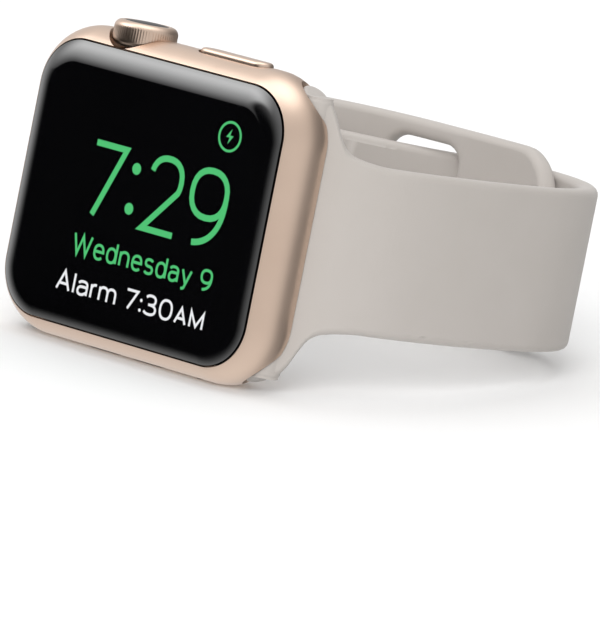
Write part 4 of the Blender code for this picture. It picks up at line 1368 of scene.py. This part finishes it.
def add_world():
    """A white room. Shiny surfaces see a light tent with a dark flag and a shaded side."""
    world = bpy.data.worlds.new("white_room")
    bpy.context.scene.world = world
    world.use_nodes = True
    tree = world.node_tree
    where = put(tree, "ShaderNodeTexCoord").outputs["Generated"]
    parts = put(tree, "ShaderNodeSeparateXYZ")
    height = put(tree, "ShaderNodeMapRange", {"From Min": -1.0, "From Max": 1.0})
    tent = put(tree, "ShaderNodeValToRGB")
    for number, (position, level) in enumerate(TENT_STOPS):
        stop = tent.color_ramp.elements[number] if number < 2 else tent.color_ramp.elements.new(position)
        stop.position = position
        stop.color = (level, level, level, 1.0)
    flag = lobe(tree, where, (-0.64, -0.74, -0.20), 18.0, 54.0, 0.0)
    shaded = lobe(tree, where, (0.20, 0.97, -0.10), 22.0, 72.0, 0.22)
    second_flag = lobe(tree, where, (-0.25, -0.95, -0.10), 20.0, 55.0, 0.0)
    tree.links.new(where, parts.inputs["Vector"])
    tree.links.new(parts.outputs["Z"], height.inputs["Value"])
    tree.links.new(height.outputs["Result"], tent.inputs["Fac"])
    room = times(tree, tent.outputs["Color"], times(tree, times(tree, flag, second_flag), shaded))
    away = put(tree, "ShaderNodeMath", operation="SUBTRACT")
    away.inputs[0].default_value = 1.0
    tree.links.new(lobe(tree, where, (-0.62, -0.55, 0.45), 10.0, 45.0, 0.0), away.inputs[1])
    low_edge = put(
        tree, "ShaderNodeMapRange", {"From Min": 0.075, "From Max": 0.10}, interpolation_type="SMOOTHSTEP",
    )
    rise = put(
        tree, "ShaderNodeMapRange", {"From Min": 0.10, "From Max": 0.65, "To Min": 0.45, "To Max": 2.7},
    )
    tree.links.new(parts.outputs["Z"], low_edge.inputs["Value"])
    tree.links.new(parts.outputs["Z"], rise.inputs["Value"])
    softbox = times(tree, away.outputs[0], times(tree, low_edge.outputs["Result"], rise.outputs["Result"]))
    softbox = times(tree, softbox, lobe(tree, where, (-0.26, -0.93, 0.22), 17.0, 26.0, 0.0))
    both = put(tree, "ShaderNodeMath", operation="ADD")
    tree.links.new(room, both.inputs[0])
    tree.links.new(softbox, both.inputs[1])
    seen = both.outputs[0]
    path = put(tree, "ShaderNodeLightPath")
    shiny = put(tree, "ShaderNodeMix", data_type="RGBA")
    shiny.inputs["A"].default_value = (ROOM_LIGHT, ROOM_LIGHT, ROOM_LIGHT, 1.0)
    eye = put(tree, "ShaderNodeMix", data_type="RGBA")
    eye.inputs["B"].default_value = (1.0, 1.0, 1.0, 1.0)
    tree.links.new(path.outputs["Is Glossy Ray"], shiny.inputs["Factor"])
    tree.links.new(seen, shiny.inputs["B"])
    tree.links.new(path.outputs["Is Camera Ray"], eye.inputs["Factor"])
    tree.links.new(shiny.outputs["Result"], eye.inputs["A"])
    tree.links.new(eye.outputs["Result"], tree.nodes["Background"].inputs["Color"])
    return world


class BuildStage(bpy.types.Operator):
    """Builds the pale floor, the soft lights, the white room and the camera"""

    bl_idname = "watch.build_stage"
    bl_label = "Stage"

    def execute(self, context):
        bm = bmesh.new()
        bmesh.ops.create_circle(bm, cap_ends=True, segments=96, radius=1.4)
        floor = linked(mesh_from(bm, "floor"), "floor")
        floor.location = (0.0, 0.0, -0.00002)
        tone = colours().floor_tone
        paper = finish_material(
            "Pale paper", [0.985 * c for c in tone], tone, rough=(0.85, 0.95), grain=900.0, cloud=6.0,
            depth=0.02,
        )
        floor.data.materials.append(paper)
        floor.visible_glossy = False
        add_soft_light("key_light", KEY_DIRECTION, 1.8, 35.0)
        add_soft_light("top_light", TOP_DIRECTION, 0.85, 60.0)
        context.scene.view_settings.view_transform = "Standard"
        add_world()
        add_camera()
        return {"FINISHED"}


class WatchPanel(bpy.types.Panel):
    """Lists the pieces of the watch"""

    bl_idname = "VIEW3D_PT_watch"
    bl_label = "Smartwatch"
    bl_space_type = "VIEW_3D"
    bl_region_type = "UI"
    bl_category = "Smartwatch"

    def draw(self, context):
        column = self.layout.column(align=True)
        for operator in OPERATORS:
            column.operator(operator.bl_idname)
        for group in (context.scene.watch_sizes, context.scene.watch_colours):
            box = self.layout.box()
            for name in group.__annotations__:
                box.prop(group, name)


OPERATORS = (
    BuildCase, BuildGlass, BuildDisplay, BuildBack, BuildCrown, BuildButtons, BuildBand, FinishInside,
    BuildStage,
)
CLASSES = (WatchSizes, WatchColours, *OPERATORS, WatchPanel)


def register():
    for cls in CLASSES:
        bpy.utils.register_class(cls)
    bpy.types.Scene.watch_sizes = PointerProperty(type=WatchSizes)
    bpy.types.Scene.watch_colours = PointerProperty(type=WatchColours)


def unregister():
    del bpy.types.Scene.watch_colours
    del bpy.types.Scene.watch_sizes
    for cls in reversed(CLASSES):
        bpy.utils.unregister_class(cls)


def main():
    register()
    bpy.ops.watch.build_stage()
    bpy.ops.watch.build_case()
    bpy.ops.watch.build_glass()
    bpy.ops.watch.build_display()
    bpy.ops.watch.build_back()
    bpy.ops.watch.build_crown()
    bpy.ops.watch.build_buttons()
    bpy.ops.watch.build_band()
    bpy.ops.watch.finish_inside()


if __name__ == "__main__":
    main()
